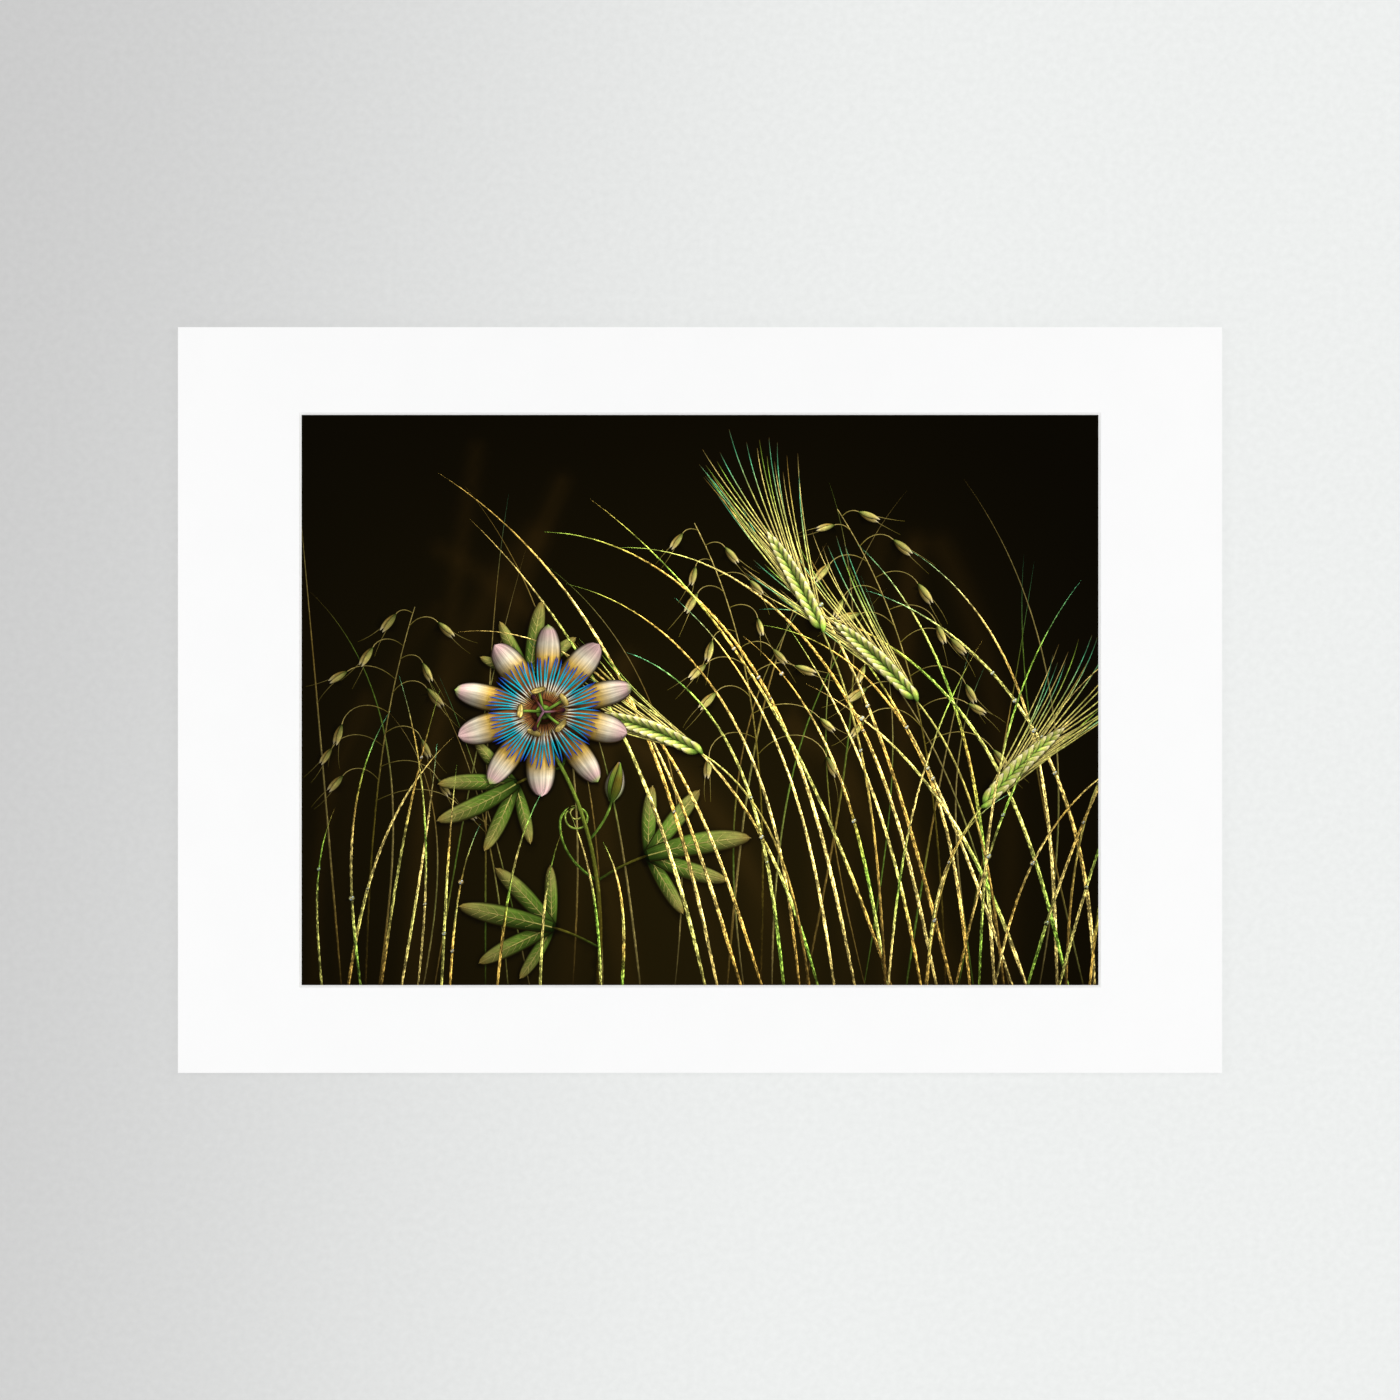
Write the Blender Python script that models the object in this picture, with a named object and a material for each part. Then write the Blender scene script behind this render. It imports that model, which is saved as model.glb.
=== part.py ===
"""A matted art print in the 50 x 70 cm format, lying on its back with the picture up.

From the back to the front it is a stack of flat pieces: a foam-cored backing board, two T-shaped
paper tabs that hold the printed sheet by its top edge, the sheet itself, four strips of
double-sided tape just inside the rim, and a window mat of white card. The window is cut at
45 degrees, so it is wider at the front of the card than at the back.

The origin is the middle of the underside. +X runs to the right of the picture, +Y to its top and
+Z out of its front. Lengths are in metres.
"""

import bmesh
import bpy
from mathutils import Matrix

# The outer size is the standard 50 x 70 cm format of wall prints and of their frames.
MAT_WIDTH = 0.700
MAT_HEIGHT = 0.500
MAT_THICKNESS = 0.0015

# The window at the back of the card, which is as much of the picture as shows.
WINDOW_WIDTH = 0.5345
WINDOW_HEIGHT = 0.3825

# The sheet is A2, of heavy art paper, and runs on behind the card on all sides.
SHEET_WIDTH = 0.594
SHEET_HEIGHT = 0.420
SHEET_THICKNESS = 0.0003

BOARD_THICKNESS = 0.003

# A tab is a strip that starts behind the sheet, and a cross strip on the board above the sheet.
TAB_THICKNESS = 0.0001
TAB_STRIP_WIDTH = 0.025
TAB_STRIP_LENGTH = 0.030
TAB_CROSS_WIDTH = 0.060
TAB_CROSS_HEIGHT = 0.012
TAB_BEHIND_SHEET = 0.012
TAB_FROM_MIDDLE = 0.180

TAPE_WIDTH = 0.012
TAPE_FROM_EDGE = 0.003

# Each layer keeps this clear of the next, so the stack stays as thin as pressed card and paper.
LAYER_GAP = 0.0001

# The layers' heights, from the board up.
TAB_BOTTOM = BOARD_THICKNESS + LAYER_GAP
SHEET_BOTTOM = TAB_BOTTOM + TAB_THICKNESS + LAYER_GAP
SHEET_TOP = SHEET_BOTTOM + SHEET_THICKNESS
MAT_BOTTOM = SHEET_TOP + LAYER_GAP
TAPE_THICKNESS = MAT_BOTTOM - LAYER_GAP - TAB_BOTTOM

# The block that cuts the window runs this far past both faces of the card, on the same slope.
CUTTER_REACH = 0.001

PART_NAME = "matted_art_print"


def clear_scene():
    """Removes every object that the file starts with."""
    for obj in list(bpy.data.objects):
        bpy.data.objects.remove(obj)


def new_collection(name):
    """A collection of its own in the scene."""
    collection = bpy.data.collections.new(name)
    bpy.context.scene.collection.children.link(collection)
    return collection


def finish(name, color, roughness):
    """A Principled material with this colour and roughness, and no metal."""
    material = bpy.data.materials.new(name)
    material.use_nodes = True
    shader = material.node_tree.nodes["Principled BSDF"]
    shader.inputs["Base Color"].default_value = (*color, 1.0)
    shader.inputs["Roughness"].default_value = roughness
    shader.inputs["Metallic"].default_value = 0.0
    return material


def add_mesh_object(name, work, location, collection):
    """Puts a bmesh in the collection as an object, and frees the bmesh."""
    mesh = bpy.data.meshes.new(name)
    work.to_mesh(mesh)
    work.free()
    obj = bpy.data.objects.new(name, mesh)
    obj.location = location
    collection.objects.link(obj)
    return obj


def add_slab(name, size, bottom, material, collection, x=0.0, y=0.0):
    """A flat board, sheet or strip of this (x, y, z) size, with its underside at height bottom."""
    work = bmesh.new()
    bmesh.ops.create_cube(work, size=1.0, matrix=Matrix.Diagonal((*size, 1.0)))
    slab = add_mesh_object(name, work, (x, y, bottom + size[2] / 2), collection)
    slab.data.materials.append(material)
    return slab


def add_window_cutter(collection):
    """The tapered block that cuts the window, narrow at the back of the card and wide in front."""
    height = MAT_THICKNESS + 2 * CUTTER_REACH
    work = bmesh.new()
    bmesh.ops.create_cube(work, size=2.0)
    for vertex in work.verts:
        # At 45 degrees, each side of the window moves out as far as it rises.
        grown = MAT_THICKNESS + CUTTER_REACH if vertex.co.z > 0 else -CUTTER_REACH
        vertex.co.x *= WINDOW_WIDTH / 2 + grown
        vertex.co.y *= WINDOW_HEIGHT / 2 + grown
        vertex.co.z *= height / 2
    middle = (0.0, 0.0, MAT_BOTTOM + MAT_THICKNESS / 2)
    cutter = add_mesh_object("window_cutter", work, middle, collection)
    cutter.hide_render = True
    cutter.display_type = "WIRE"
    return cutter


def add_window_mat(material, parts, cutters):
    """The card with its bevelled window."""
    size = (MAT_WIDTH, MAT_HEIGHT, MAT_THICKNESS)
    mat = add_slab("window_mat", size, MAT_BOTTOM, material, parts)
    window = mat.modifiers.new("window", "BOOLEAN")
    window.operation = "DIFFERENCE"
    window.object = add_window_cutter(cutters)


def add_paper_tab(name, x, material, collection):
    """A T-shaped tab. Its strip starts behind the sheet, and its cross lies above the sheet."""
    bottom = SHEET_HEIGHT / 2 - TAB_BEHIND_SHEET
    top = bottom + TAB_STRIP_LENGTH
    under_cross = top - TAB_CROSS_HEIGHT
    right_side = [
        (TAB_STRIP_WIDTH / 2, bottom),
        (TAB_STRIP_WIDTH / 2, under_cross),
        (TAB_CROSS_WIDTH / 2, under_cross),
        (TAB_CROSS_WIDTH / 2, top),
    ]
    left_side = [(-px, py) for px, py in reversed(right_side)]

    outline = bpy.data.curves.new(name, "CURVE")
    outline.dimensions = "2D"
    outline.fill_mode = "BOTH"
    outline.extrude = TAB_THICKNESS / 2
    spline = outline.splines.new("POLY")
    spline.points.add(len(right_side) + len(left_side) - 1)
    for point, (px, py) in zip(spline.points, right_side + left_side):
        point.co = (px, py, 0.0, 1.0)
    spline.use_cyclic_u = True
    outline.materials.append(material)

    tab = bpy.data.objects.new(name, outline)
    tab.location = (x, 0.0, TAB_BOTTOM + TAB_THICKNESS / 2)
    collection.objects.link(tab)


def add_mount_tape(material, collection):
    """Four strips of double-sided tape that hold the card to the board just inside the rim."""
    length_across = MAT_WIDTH - 2 * TAPE_FROM_EDGE
    length_up = MAT_HEIGHT - 2 * (TAPE_FROM_EDGE + TAPE_WIDTH + LAYER_GAP)
    across = (length_across, TAPE_WIDTH, TAPE_THICKNESS)
    up = (TAPE_WIDTH, length_up, TAPE_THICKNESS)
    x = MAT_WIDTH / 2 - TAPE_FROM_EDGE - TAPE_WIDTH / 2
    y = MAT_HEIGHT / 2 - TAPE_FROM_EDGE - TAPE_WIDTH / 2
    add_slab("mount_tape_top", across, TAB_BOTTOM, material, collection, y=y)
    add_slab("mount_tape_bottom", across, TAB_BOTTOM, material, collection, y=-y)
    add_slab("mount_tape_left", up, TAB_BOTTOM, material, collection, x=-x)
    add_slab("mount_tape_right", up, TAB_BOTTOM, material, collection, x=x)


def main():
    """Builds the whole part."""
    clear_scene()
    parts = new_collection(PART_NAME)
    cutters = new_collection("cutters")

    board_white = finish("backing_board", (0.80, 0.79, 0.76), 0.70)
    picture_dark = finish("art_print", (0.035, 0.030, 0.012), 0.45)
    card_white = finish("window_mat", (0.93, 0.93, 0.92), 0.85)
    tab_paper = finish("paper_tab", (0.86, 0.83, 0.74), 0.80)
    tape_white = finish("mount_tape", (0.88, 0.87, 0.82), 0.60)

    board_size = (MAT_WIDTH, MAT_HEIGHT, BOARD_THICKNESS)
    add_slab("backing_board", board_size, 0.0, board_white, parts)
    sheet_size = (SHEET_WIDTH, SHEET_HEIGHT, SHEET_THICKNESS)
    add_slab("art_print", sheet_size, SHEET_BOTTOM, picture_dark, parts)
    add_window_mat(card_white, parts, cutters)
    add_paper_tab("paper_tab_left", -TAB_FROM_MIDDLE, tab_paper, parts)
    add_paper_tab("paper_tab_right", TAB_FROM_MIDDLE, tab_paper, parts)
    add_mount_tape(tape_white, parts)


main()
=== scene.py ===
"""The looks of a matted art print in the 50 x 70 cm format, lying on its back on a pale floor.

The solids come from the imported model. Here the backing board gets its paper skins and foam core,
the window mat its facing paper and cut core, and the printed sheet its picture: a generic meadow
piece, with one blue flower on its vine among thin gold grasses, oats and barley on a near-black
ground. The picture is flat. Its shapes are laid over one another as outlines in the plane of the
paper, that plane is parted into triangles, and each triangle shows the shape that lies on top.

Lengths are in metres. +X runs to the right of the picture, +Y to its top and +Z out of its front.
Headings, turns, leans, spreads and droops are kept in degrees, and a heading is counted from +X.
All other angles are in radians, and so is every angle that a function takes.
"""

import logging
import math
from collections.abc import Sequence
from dataclasses import dataclass, field, replace
from enum import Enum
from random import Random
from typing import Protocol

import bpy
import numpy as np
from bpy.types import Material, Mesh, Node, NodeOutputs, Object
from bpy.types import NodeSocket as Socket
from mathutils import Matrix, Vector
from mathutils.geometry import delaunay_2d_cdt


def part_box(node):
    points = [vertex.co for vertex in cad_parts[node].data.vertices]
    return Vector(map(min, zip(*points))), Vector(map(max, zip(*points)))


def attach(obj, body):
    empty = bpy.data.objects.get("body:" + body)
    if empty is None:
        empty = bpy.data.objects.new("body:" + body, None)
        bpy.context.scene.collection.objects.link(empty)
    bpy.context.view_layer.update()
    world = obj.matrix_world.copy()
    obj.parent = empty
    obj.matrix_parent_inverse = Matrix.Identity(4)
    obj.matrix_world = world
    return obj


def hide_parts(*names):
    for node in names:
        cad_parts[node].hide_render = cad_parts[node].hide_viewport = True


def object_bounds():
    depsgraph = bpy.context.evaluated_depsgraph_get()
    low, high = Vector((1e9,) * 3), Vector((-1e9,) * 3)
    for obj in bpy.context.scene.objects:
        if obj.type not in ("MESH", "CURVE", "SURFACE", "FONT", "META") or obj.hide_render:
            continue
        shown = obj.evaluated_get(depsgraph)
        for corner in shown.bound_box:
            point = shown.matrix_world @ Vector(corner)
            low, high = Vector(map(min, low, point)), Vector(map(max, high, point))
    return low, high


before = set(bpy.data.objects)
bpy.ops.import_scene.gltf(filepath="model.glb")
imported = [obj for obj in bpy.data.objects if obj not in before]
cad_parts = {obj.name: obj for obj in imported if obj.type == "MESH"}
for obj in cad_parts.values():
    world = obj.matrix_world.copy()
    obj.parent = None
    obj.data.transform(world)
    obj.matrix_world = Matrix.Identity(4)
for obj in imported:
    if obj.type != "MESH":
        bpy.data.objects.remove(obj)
CAD_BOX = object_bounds()

LOG = logging.getLogger("matted_art_print")
BODY = "root"

# A place, a size, the two ends of a range, or the least and the most that chance may choose.
Pair = tuple[float, float]

# Points, colours or numbers, one a row, or a single one of them.
Rows = np.ndarray


# ---------------- Colours ----------------

ScreenColor = tuple[int, int, int]


def linear(red: int, green: int, blue: int) -> Rows:
    """Turns a screen colour into the linear one that a shader takes, by the sRGB curve."""
    share = np.array([red, green, blue], float) / 255
    return np.where(share <= 0.04045, share / 12.92, ((share + 0.055) / 1.055) ** 2.4)


def opaque(color: ScreenColor) -> tuple[float, ...]:
    """A screen colour as a colour socket takes it: linear, with full alpha."""
    return (*map(float, linear(*color)), 1.0)


class Tint(Enum):
    """The picture's inks, as screen colours."""

    NIGHT = (6, 4, 0)
    EARTH = (30, 23, 4)
    UMBER = (66, 46, 16)
    OLIVE = (124, 110, 36)
    OLD_GOLD = (188, 154, 72)
    STRAW = (230, 206, 118)
    PALE_STRAW = (250, 234, 188)
    HONEY = (222, 182, 84)
    MOSS = (60, 90, 26)
    LIME = (206, 202, 104)
    SPRING_GREEN = (150, 190, 70)
    SEA_GREEN = (96, 190, 136)
    CREAM = (244, 230, 200)
    DEW_WHITE = (226, 240, 236)
    SHELL_PINK = (228, 188, 182)
    MAUVE = (158, 112, 128)
    COPPER = (176, 112, 58)
    DEEP_COPPER = (92, 46, 26)
    TURQUOISE = (28, 192, 210)
    AZURE = (34, 96, 208)
    INDIGO = (34, 30, 132)
    PLUM = (40, 16, 40)

    @property
    def rgb(self) -> Rows:
        """The ink as a linear colour."""
        return linear(*self.value)


Stops = Sequence[tuple[float, Tint]]


def shades(stops: Stops, at: Rows) -> Rows:
    """Runs from ink to ink along a stroke.

    Args:
        stops: Pairs of a place from 0 to 1 and the ink there, in rising order.
        at: The places to read, from 0 to 1.

    Returns:
        One linear colour for each place.
    """
    places = [place for place, _ in stops]
    inks = np.array([tint.rgb for _, tint in stops])
    return np.stack([np.interp(at, places, ink) for ink in inks.T], axis=1)


# ---------------- Shader building ----------------

Value = float | tuple[float, ...] | Socket

# Where a Mix node keeps its two colours, and the mixed one.
FIRST_COLOR, SECOND_COLOR, MIXED_COLOR = 6, 7, 2

# What soft noise swings about.
NOISE_MIDDLE = 0.5


class Recipe:
    """A material in the making: it adds nodes, feeds them and ends in one Principled shader."""

    def __init__(self, name: str) -> None:
        """Starts a material of this name with a bare Principled shader."""
        self.material = bpy.data.materials.new(name)
        self.material.use_nodes = True
        self.tree = self.material.node_tree
        self.shader = self.tree.nodes["Principled BSDF"]

    def feed(self, socket: Socket, value: Value) -> None:
        """Links a socket to another one, or sets it to a plain value.

        Args:
            socket: The socket to feed.
            value: The other socket, or the plain value.
        """
        if isinstance(value, Socket):
            self.tree.links.new(value, socket)
        else:
            socket.default_value = value

    def node(self, kind: str, inputs: dict[int | str, Value], **settings: object) -> Node:
        """Adds a node.

        Args:
            kind: What Blender calls this kind of node.
            inputs: What its inputs get, by their places or their names.
            settings: Its settings, by name.

        Returns:
            The node.
        """
        added = self.tree.nodes.new(kind)
        for name, setting in settings.items():
            setattr(added, name, setting)
        for key, value in inputs.items():
            self.feed(added.inputs[key], value)
        return added

    def math(self, operation: str, *values: Value, clamp: bool = False) -> Socket:
        """Works out one number from up to three, and on request holds it between 0 and 1."""
        numbers = dict(enumerate(values))
        return self.node("ShaderNodeMath", numbers, operation=operation, use_clamp=clamp).outputs[0]

    def between(self, share: Value, low: float, high: float) -> Socket:
        """Runs evenly from low, where the share is 0, to high, where it is 1."""
        return self.math("MULTIPLY_ADD", share, high - low, low)

    def step(self, value: Value, low: float, high: float) -> Socket:
        """Runs smoothly from 0, where the value is at low or before it, to 1 at high or past it."""
        inputs = {"Value": value, "From Min": low, "From Max": high}
        return self.node("ShaderNodeMapRange", inputs, interpolation_type="SMOOTHSTEP").outputs[0]

    def split(self, vector: Value) -> tuple[Socket, ...]:
        """The three numbers of a vector."""
        return tuple(self.node("ShaderNodeSeparateXYZ", {0: vector}).outputs)

    def stretch(self, place: Value, factors: tuple[float, float, float]) -> Socket:
        """Multiplies a place along each axis. Noise read there is long where a factor is small."""
        return self.node("ShaderNodeVectorMath", {0: place, 1: factors}, operation="MULTIPLY").outputs[0]

    def scaled(self, color: Value, amount: Value) -> Socket:
        """Makes a colour this many times as strong."""
        return self.node("ShaderNodeVectorMath", {0: color, "Scale": amount}, operation="SCALE").outputs[0]

    def mix(self, share: Value, first: Value, second: Value) -> Socket:
        """Mixes two colours, with this share of the second."""
        inputs = {0: share, FIRST_COLOR: first, SECOND_COLOR: second}
        return self.node("ShaderNodeMix", inputs, data_type="RGBA").outputs[MIXED_COLOR]

    def attribute(self, name: str) -> NodeOutputs:
        """What the mesh carries under this name, as a colour with its alpha and as a vector."""
        return self.node("ShaderNodeAttribute", {}, attribute_name=name).outputs

    def place(self) -> Socket:
        """The point's place on the piece, in metres."""
        return self.node("ShaderNodeTexCoord", {}).outputs["Object"]

    def noise(self, at: Value, pitch: float, detail: float = 2.0, roughness: float = 0.5) -> Socket:
        """Soft noise from 0 to 1, with features this far apart, and finer layers over them."""
        inputs = {"Vector": at, "Scale": 1 / pitch, "Detail": detail, "Roughness": roughness}
        return self.node("ShaderNodeTexNoise", inputs).outputs["Fac"]

    def bump(self, height: Value, depth: float) -> None:
        """Dents the surface. A height of 1 stands this depth above one of 0."""
        added = self.node("ShaderNodeBump", {"Distance": depth, "Height": height})
        self.feed(self.shader.inputs["Normal"], added.outputs[0])

    def finish(self, color: Value, roughness: float, specular: float) -> Material:
        """Sets the shader's own sockets.

        Args:
            color: The surface's colour.
            roughness: How rough it is, from 0 to 1.
            specular: How strongly it reflects, from 0 to 1.

        Returns:
            The finished material.
        """
        self.feed(self.shader.inputs["Base Color"], color)
        self.shader.inputs["Roughness"].default_value = roughness
        self.shader.inputs["Specular IOR Level"].default_value = specular
        return self.material


# ---------------- Finishes ----------------


class Finish(Protocol):
    """Anything that a surface is finished with."""

    def build(self) -> Material:
        """Makes the material."""


@dataclass(frozen=True)
class PaperFinish:
    """Card or paper: a matt surface with a fine tooth, a faint mottle and scattered fibres."""

    name: str
    color: ScreenColor
    shadow_color: ScreenColor
    roughness: float
    specular: float
    tooth_pitch: float = 0.0006
    tooth_depth: float = 0.000012
    tooth_range: Pair = (0.52, 0.80)
    fibre_pitch: float = 0.0030
    fibre_stretch: tuple[float, float, float] = (1.0, 0.25, 1.0)
    fibre_range: Pair = (0.58, 0.70)
    fibre_height: float = 0.6
    mottle_pitch: float = 0.030
    mottle_range: Pair = (0.35, 0.70)
    blotch_share: float = 0.35
    shadow_share: float = 0.5

    def build(self) -> Material:
        """Makes the material.

        Returns:
            The material.
        """
        recipe = Recipe(self.name)
        place = recipe.place()
        tooth = recipe.noise(place, self.tooth_pitch, detail=3.0, roughness=0.6)
        mottle = recipe.noise(place, self.mottle_pitch, detail=3.0)
        drawn = recipe.stretch(place, self.fibre_stretch)
        fibre = recipe.noise(drawn, self.fibre_pitch, detail=5.0, roughness=0.7)
        mottled = recipe.step(mottle, *self.mottle_range)
        blotches = recipe.math("ADD", mottled, recipe.step(fibre, *self.fibre_range))
        blotches = recipe.math("MULTIPLY", blotches, self.blotch_share)
        share = recipe.math("ADD", blotches, recipe.step(tooth, *self.tooth_range))
        share = recipe.math("MULTIPLY", share, self.shadow_share, clamp=True)
        color = recipe.mix(share, opaque(self.color), opaque(self.shadow_color))
        height = recipe.math("ADD", tooth, recipe.math("MULTIPLY", fibre, self.fibre_height))
        recipe.bump(height, self.tooth_depth)
        return recipe.finish(color, self.roughness, self.specular)


@dataclass(frozen=True)
class CutCoreFinish:
    """The pulp core of mat card where a blade has cut it: bright, with faint strokes of the blade."""

    name: str = "card_core"
    color: ScreenColor = (254, 254, 253)
    shadow_color: ScreenColor = (246, 245, 242)
    roughness: float = 0.8
    specular: float = 0.3
    stroke_pitch: float = 0.0004
    stroke_stretch: tuple[float, float, float] = (0.04, 0.04, 1.0)
    stroke_depth: float = 0.00001
    pulp_pitch: float = 0.0012
    shadow_range: Pair = (0.42, 0.75)

    def build(self) -> Material:
        """Makes the material.

        Returns:
            The material.
        """
        recipe = Recipe(self.name)
        place = recipe.place()
        drawn = recipe.stretch(place, self.stroke_stretch)
        stroke = recipe.noise(drawn, self.stroke_pitch, detail=4.0, roughness=0.65)
        pulp = recipe.noise(place, self.pulp_pitch, detail=4.0, roughness=0.6)
        mean = recipe.math("MULTIPLY", recipe.math("ADD", stroke, pulp), 0.5)
        share = recipe.step(mean, *self.shadow_range)
        color = recipe.mix(share, opaque(self.color), opaque(self.shadow_color))
        recipe.bump(recipe.math("ADD", stroke, pulp), self.stroke_depth)
        return recipe.finish(color, self.roughness, self.specular)


@dataclass(frozen=True)
class FoamFinish:
    """The cut edge of foam board: white foam whose small cells have been sliced open.

    The hollow range is where a cell's hollow begins and where it is deepest, in cells from its wall.
    The hollows are darkened with painted shade as well as dented.
    """

    name: str = "foam_core"
    color: ScreenColor = (250, 250, 250)
    # The painted shade in the cells' hollows.
    hollow_shade_color: ScreenColor = (234, 235, 236)
    cell_size: float = 0.00032
    cell_depth: float = 0.00007
    hollow_range: Pair = (0.04, 0.22)
    roughness: float = 0.6
    specular: float = 0.4

    def build(self) -> Material:
        """Makes the material.

        Returns:
            The material.
        """
        recipe = Recipe(self.name)
        inputs = {"Vector": recipe.place(), "Scale": 1 / self.cell_size}
        cells = recipe.node("ShaderNodeTexVoronoi", inputs, feature="DISTANCE_TO_EDGE")
        hollow = recipe.step(cells.outputs["Distance"], *self.hollow_range)
        # Painted shade: the cells' hollows are darker than the foam round them.
        color = recipe.mix(hollow, opaque(self.color), opaque(self.hollow_shade_color))
        recipe.bump(recipe.math("SUBTRACT", 1.0, hollow), self.cell_depth)
        return recipe.finish(color, self.roughness, self.specular)


@dataclass(frozen=True)
class TapeFinish:
    """Double-sided tape: a tissue with a sheen and small trapped bubbles."""

    name: str = "mount_tape"
    color: ScreenColor = (236, 232, 216)
    bubble_color: ScreenColor = (250, 248, 238)
    bubble_pitch: float = 0.0024
    bubble_range: Pair = (0.58, 0.66)
    weave_pitch: float = 0.0005
    weave_depth: float = 0.00002
    roughness: float = 0.38
    specular: float = 0.5

    def build(self) -> Material:
        """Makes the material.

        Returns:
            The material.
        """
        recipe = Recipe(self.name)
        place = recipe.place()
        bubbles = recipe.step(recipe.noise(place, self.bubble_pitch, detail=4.0), *self.bubble_range)
        color = recipe.mix(bubbles, opaque(self.color), opaque(self.bubble_color))
        recipe.bump(recipe.noise(place, self.weave_pitch), self.weave_depth)
        return recipe.finish(color, self.roughness, self.specular)


class Layer(Enum):
    """What the sheet's faces carry for the ink's shader, under these names.

    INK is the shape's own colour, with how far it covers the ground as its alpha. STROKE is the
    way along the shape in metres, the way across it from -1 to 1, and its seed. LIGHT is how
    squarely its left side faces the light, how much it glints, and how strongly it is veined.
    GROUND is the blurred ground behind it, with the light that shadows leave as its alpha.
    """

    INK = "ink"
    STROKE = "stroke"
    LIGHT = "light"
    GROUND = "ground"


@dataclass(frozen=True)
class StrokePoint:
    """A point on a stroke, with the numbers of its STROKE and its LIGHT."""

    recipe: Recipe
    along: Socket
    across: Socket
    seed: Socket
    side: Socket
    glint: Socket
    vein: Socket
    seeds_apart: float = 37.0

    def noise(self, length: float, rows: float, detail: float = 2.0, roughness: float = 0.5) -> Socket:
        """Noise that is drawn out along the stroke, and differs from stroke to stroke.

        Args:
            length: How long its features are along the stroke.
            rows: How many of them there are across half of the stroke.
            detail: How many finer layers it has.
            roughness: How strong the finer layers are.

        Returns:
            The socket that carries the noise.
        """
        place = {
            "X": self.recipe.math("DIVIDE", self.along, length),
            "Y": self.recipe.math("MULTIPLY", self.across, rows),
            "Z": self.recipe.math("MULTIPLY", self.seed, self.seeds_apart),
        }
        at = self.recipe.node("ShaderNodeCombineXYZ", place).outputs[0]
        return self.recipe.noise(at, 1.0, detail, roughness)


@dataclass(frozen=True)
class InkFinish:
    """The printed picture on satin art paper.

    Each stroke is lit as a rounded blade. Streaks and veins run along it, and on strokes that
    glint the highlight breaks up into beads, in clusters, on both sides of a groove.
    """

    name: str = "picture_ink"
    roughness: float = 0.28
    specular: float = 0.03
    satin_pitch: float = 0.0009
    satin_depth: float = 0.000008
    soft_edge: float = 0.72
    dark_side: float = 0.22
    lit_side: float = 1.25
    crown: float = 0.45
    facing_range: Pair = (-0.55, 0.95)
    streak_length: float = 0.016
    streak_rows: float = 0.7
    dark_streak: float = 0.45
    bright_streak: float = 1.55
    vein_length: float = 0.030
    vein_rows: float = 7.0
    vein_range: Pair = (0.30, 0.70)
    dark_vein: float = -0.42
    bright_vein: float = 0.08
    bead_length: float = 0.0028
    bead_rows: float = 1.5
    bead_range: Pair = (0.43, 0.51)
    dark_bead: float = 0.08
    bright_range: Pair = (0.54, 0.66)
    bright_bead: float = 2.8
    swell_length: float = 0.015
    swell_rows: float = 0.2
    swell: float = 0.5
    groove_depth: float = 0.80
    groove_edge: float = 0.42

    def build(self) -> Material:
        """Makes the material.

        Returns:
            The material.
        """
        recipe = Recipe(self.name)
        ink, stroke, light, ground = (recipe.attribute(layer.value) for layer in Layer)
        point = StrokePoint(recipe, *recipe.split(stroke["Vector"]), *recipe.split(light["Vector"]))
        tone = self.roundness(point)
        for factor in (self.streaks(point), self.veins(point), self.beads(point)):
            tone = recipe.math("MULTIPLY", tone, factor)
        color = recipe.scaled(ink["Color"], tone)
        edge = recipe.step(recipe.math("ABSOLUTE", point.across), 1.0, self.soft_edge)
        cover = recipe.math("MULTIPLY", ink["Alpha"], edge)
        color = recipe.mix(cover, ground["Color"], color)
        color = recipe.scaled(color, ground["Alpha"])
        recipe.bump(recipe.noise(recipe.place(), self.satin_pitch, detail=3.0), self.satin_depth)
        return recipe.finish(color, self.roughness, self.specular)

    def roundness(self, point: StrokePoint) -> Socket:
        """How bright a rounded blade is at a point across it.

        Args:
            point: The point.

        Returns:
            The socket that carries the brightness.
        """
        recipe = point.recipe
        facing = recipe.math("MULTIPLY", point.across, point.side)
        crown = recipe.math("SUBTRACT", 1.0, recipe.math("MULTIPLY", point.across, point.across))
        facing = recipe.math("MULTIPLY_ADD", crown, self.crown, facing)
        return recipe.between(recipe.step(facing, *self.facing_range), self.dark_side, self.lit_side)

    def streaks(self, point: StrokePoint) -> Socket:
        """How many times as bright the long streaks make the stroke."""
        streaks = point.noise(self.streak_length, self.streak_rows)
        return point.recipe.between(streaks, self.dark_streak, self.bright_streak)

    def veins(self, point: StrokePoint) -> Socket:
        """How many times as bright the veins make the stroke.

        Args:
            point: The point.

        Returns:
            The socket that carries the factor.
        """
        veins = point.noise(self.vein_length, self.vein_rows, detail=3.0)
        veins = point.recipe.step(veins, *self.vein_range)
        veins = point.recipe.between(veins, self.dark_vein, self.bright_vein)
        return point.recipe.math("MULTIPLY_ADD", veins, point.vein, 1.0)

    def beads(self, point: StrokePoint) -> Socket:
        """How many times as bright its broken highlights and its groove make the stroke.

        Args:
            point: The point.

        Returns:
            The socket that carries the factor.
        """
        recipe = point.recipe
        swell = recipe.math("SUBTRACT", point.noise(self.swell_length, self.swell_rows), NOISE_MIDDLE)
        beads = point.noise(self.bead_length, self.bead_rows, roughness=0.75)
        beads = recipe.math("MULTIPLY_ADD", swell, self.swell, beads)
        full = recipe.between(recipe.step(beads, *self.bead_range), self.dark_bead, 1.0)
        bright = recipe.math("MULTIPLY", recipe.step(beads, *self.bright_range), self.bright_bead)
        flank = recipe.step(recipe.math("ABSOLUTE", point.across), 0.0, self.groove_edge)
        groove = recipe.between(flank, 1 - self.groove_depth, 1.0)
        shine = recipe.math("MULTIPLY", recipe.math("ADD", full, bright), groove)
        return recipe.math("MULTIPLY_ADD", recipe.math("SUBTRACT", shine, 1.0), point.glint, 1.0)


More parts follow.
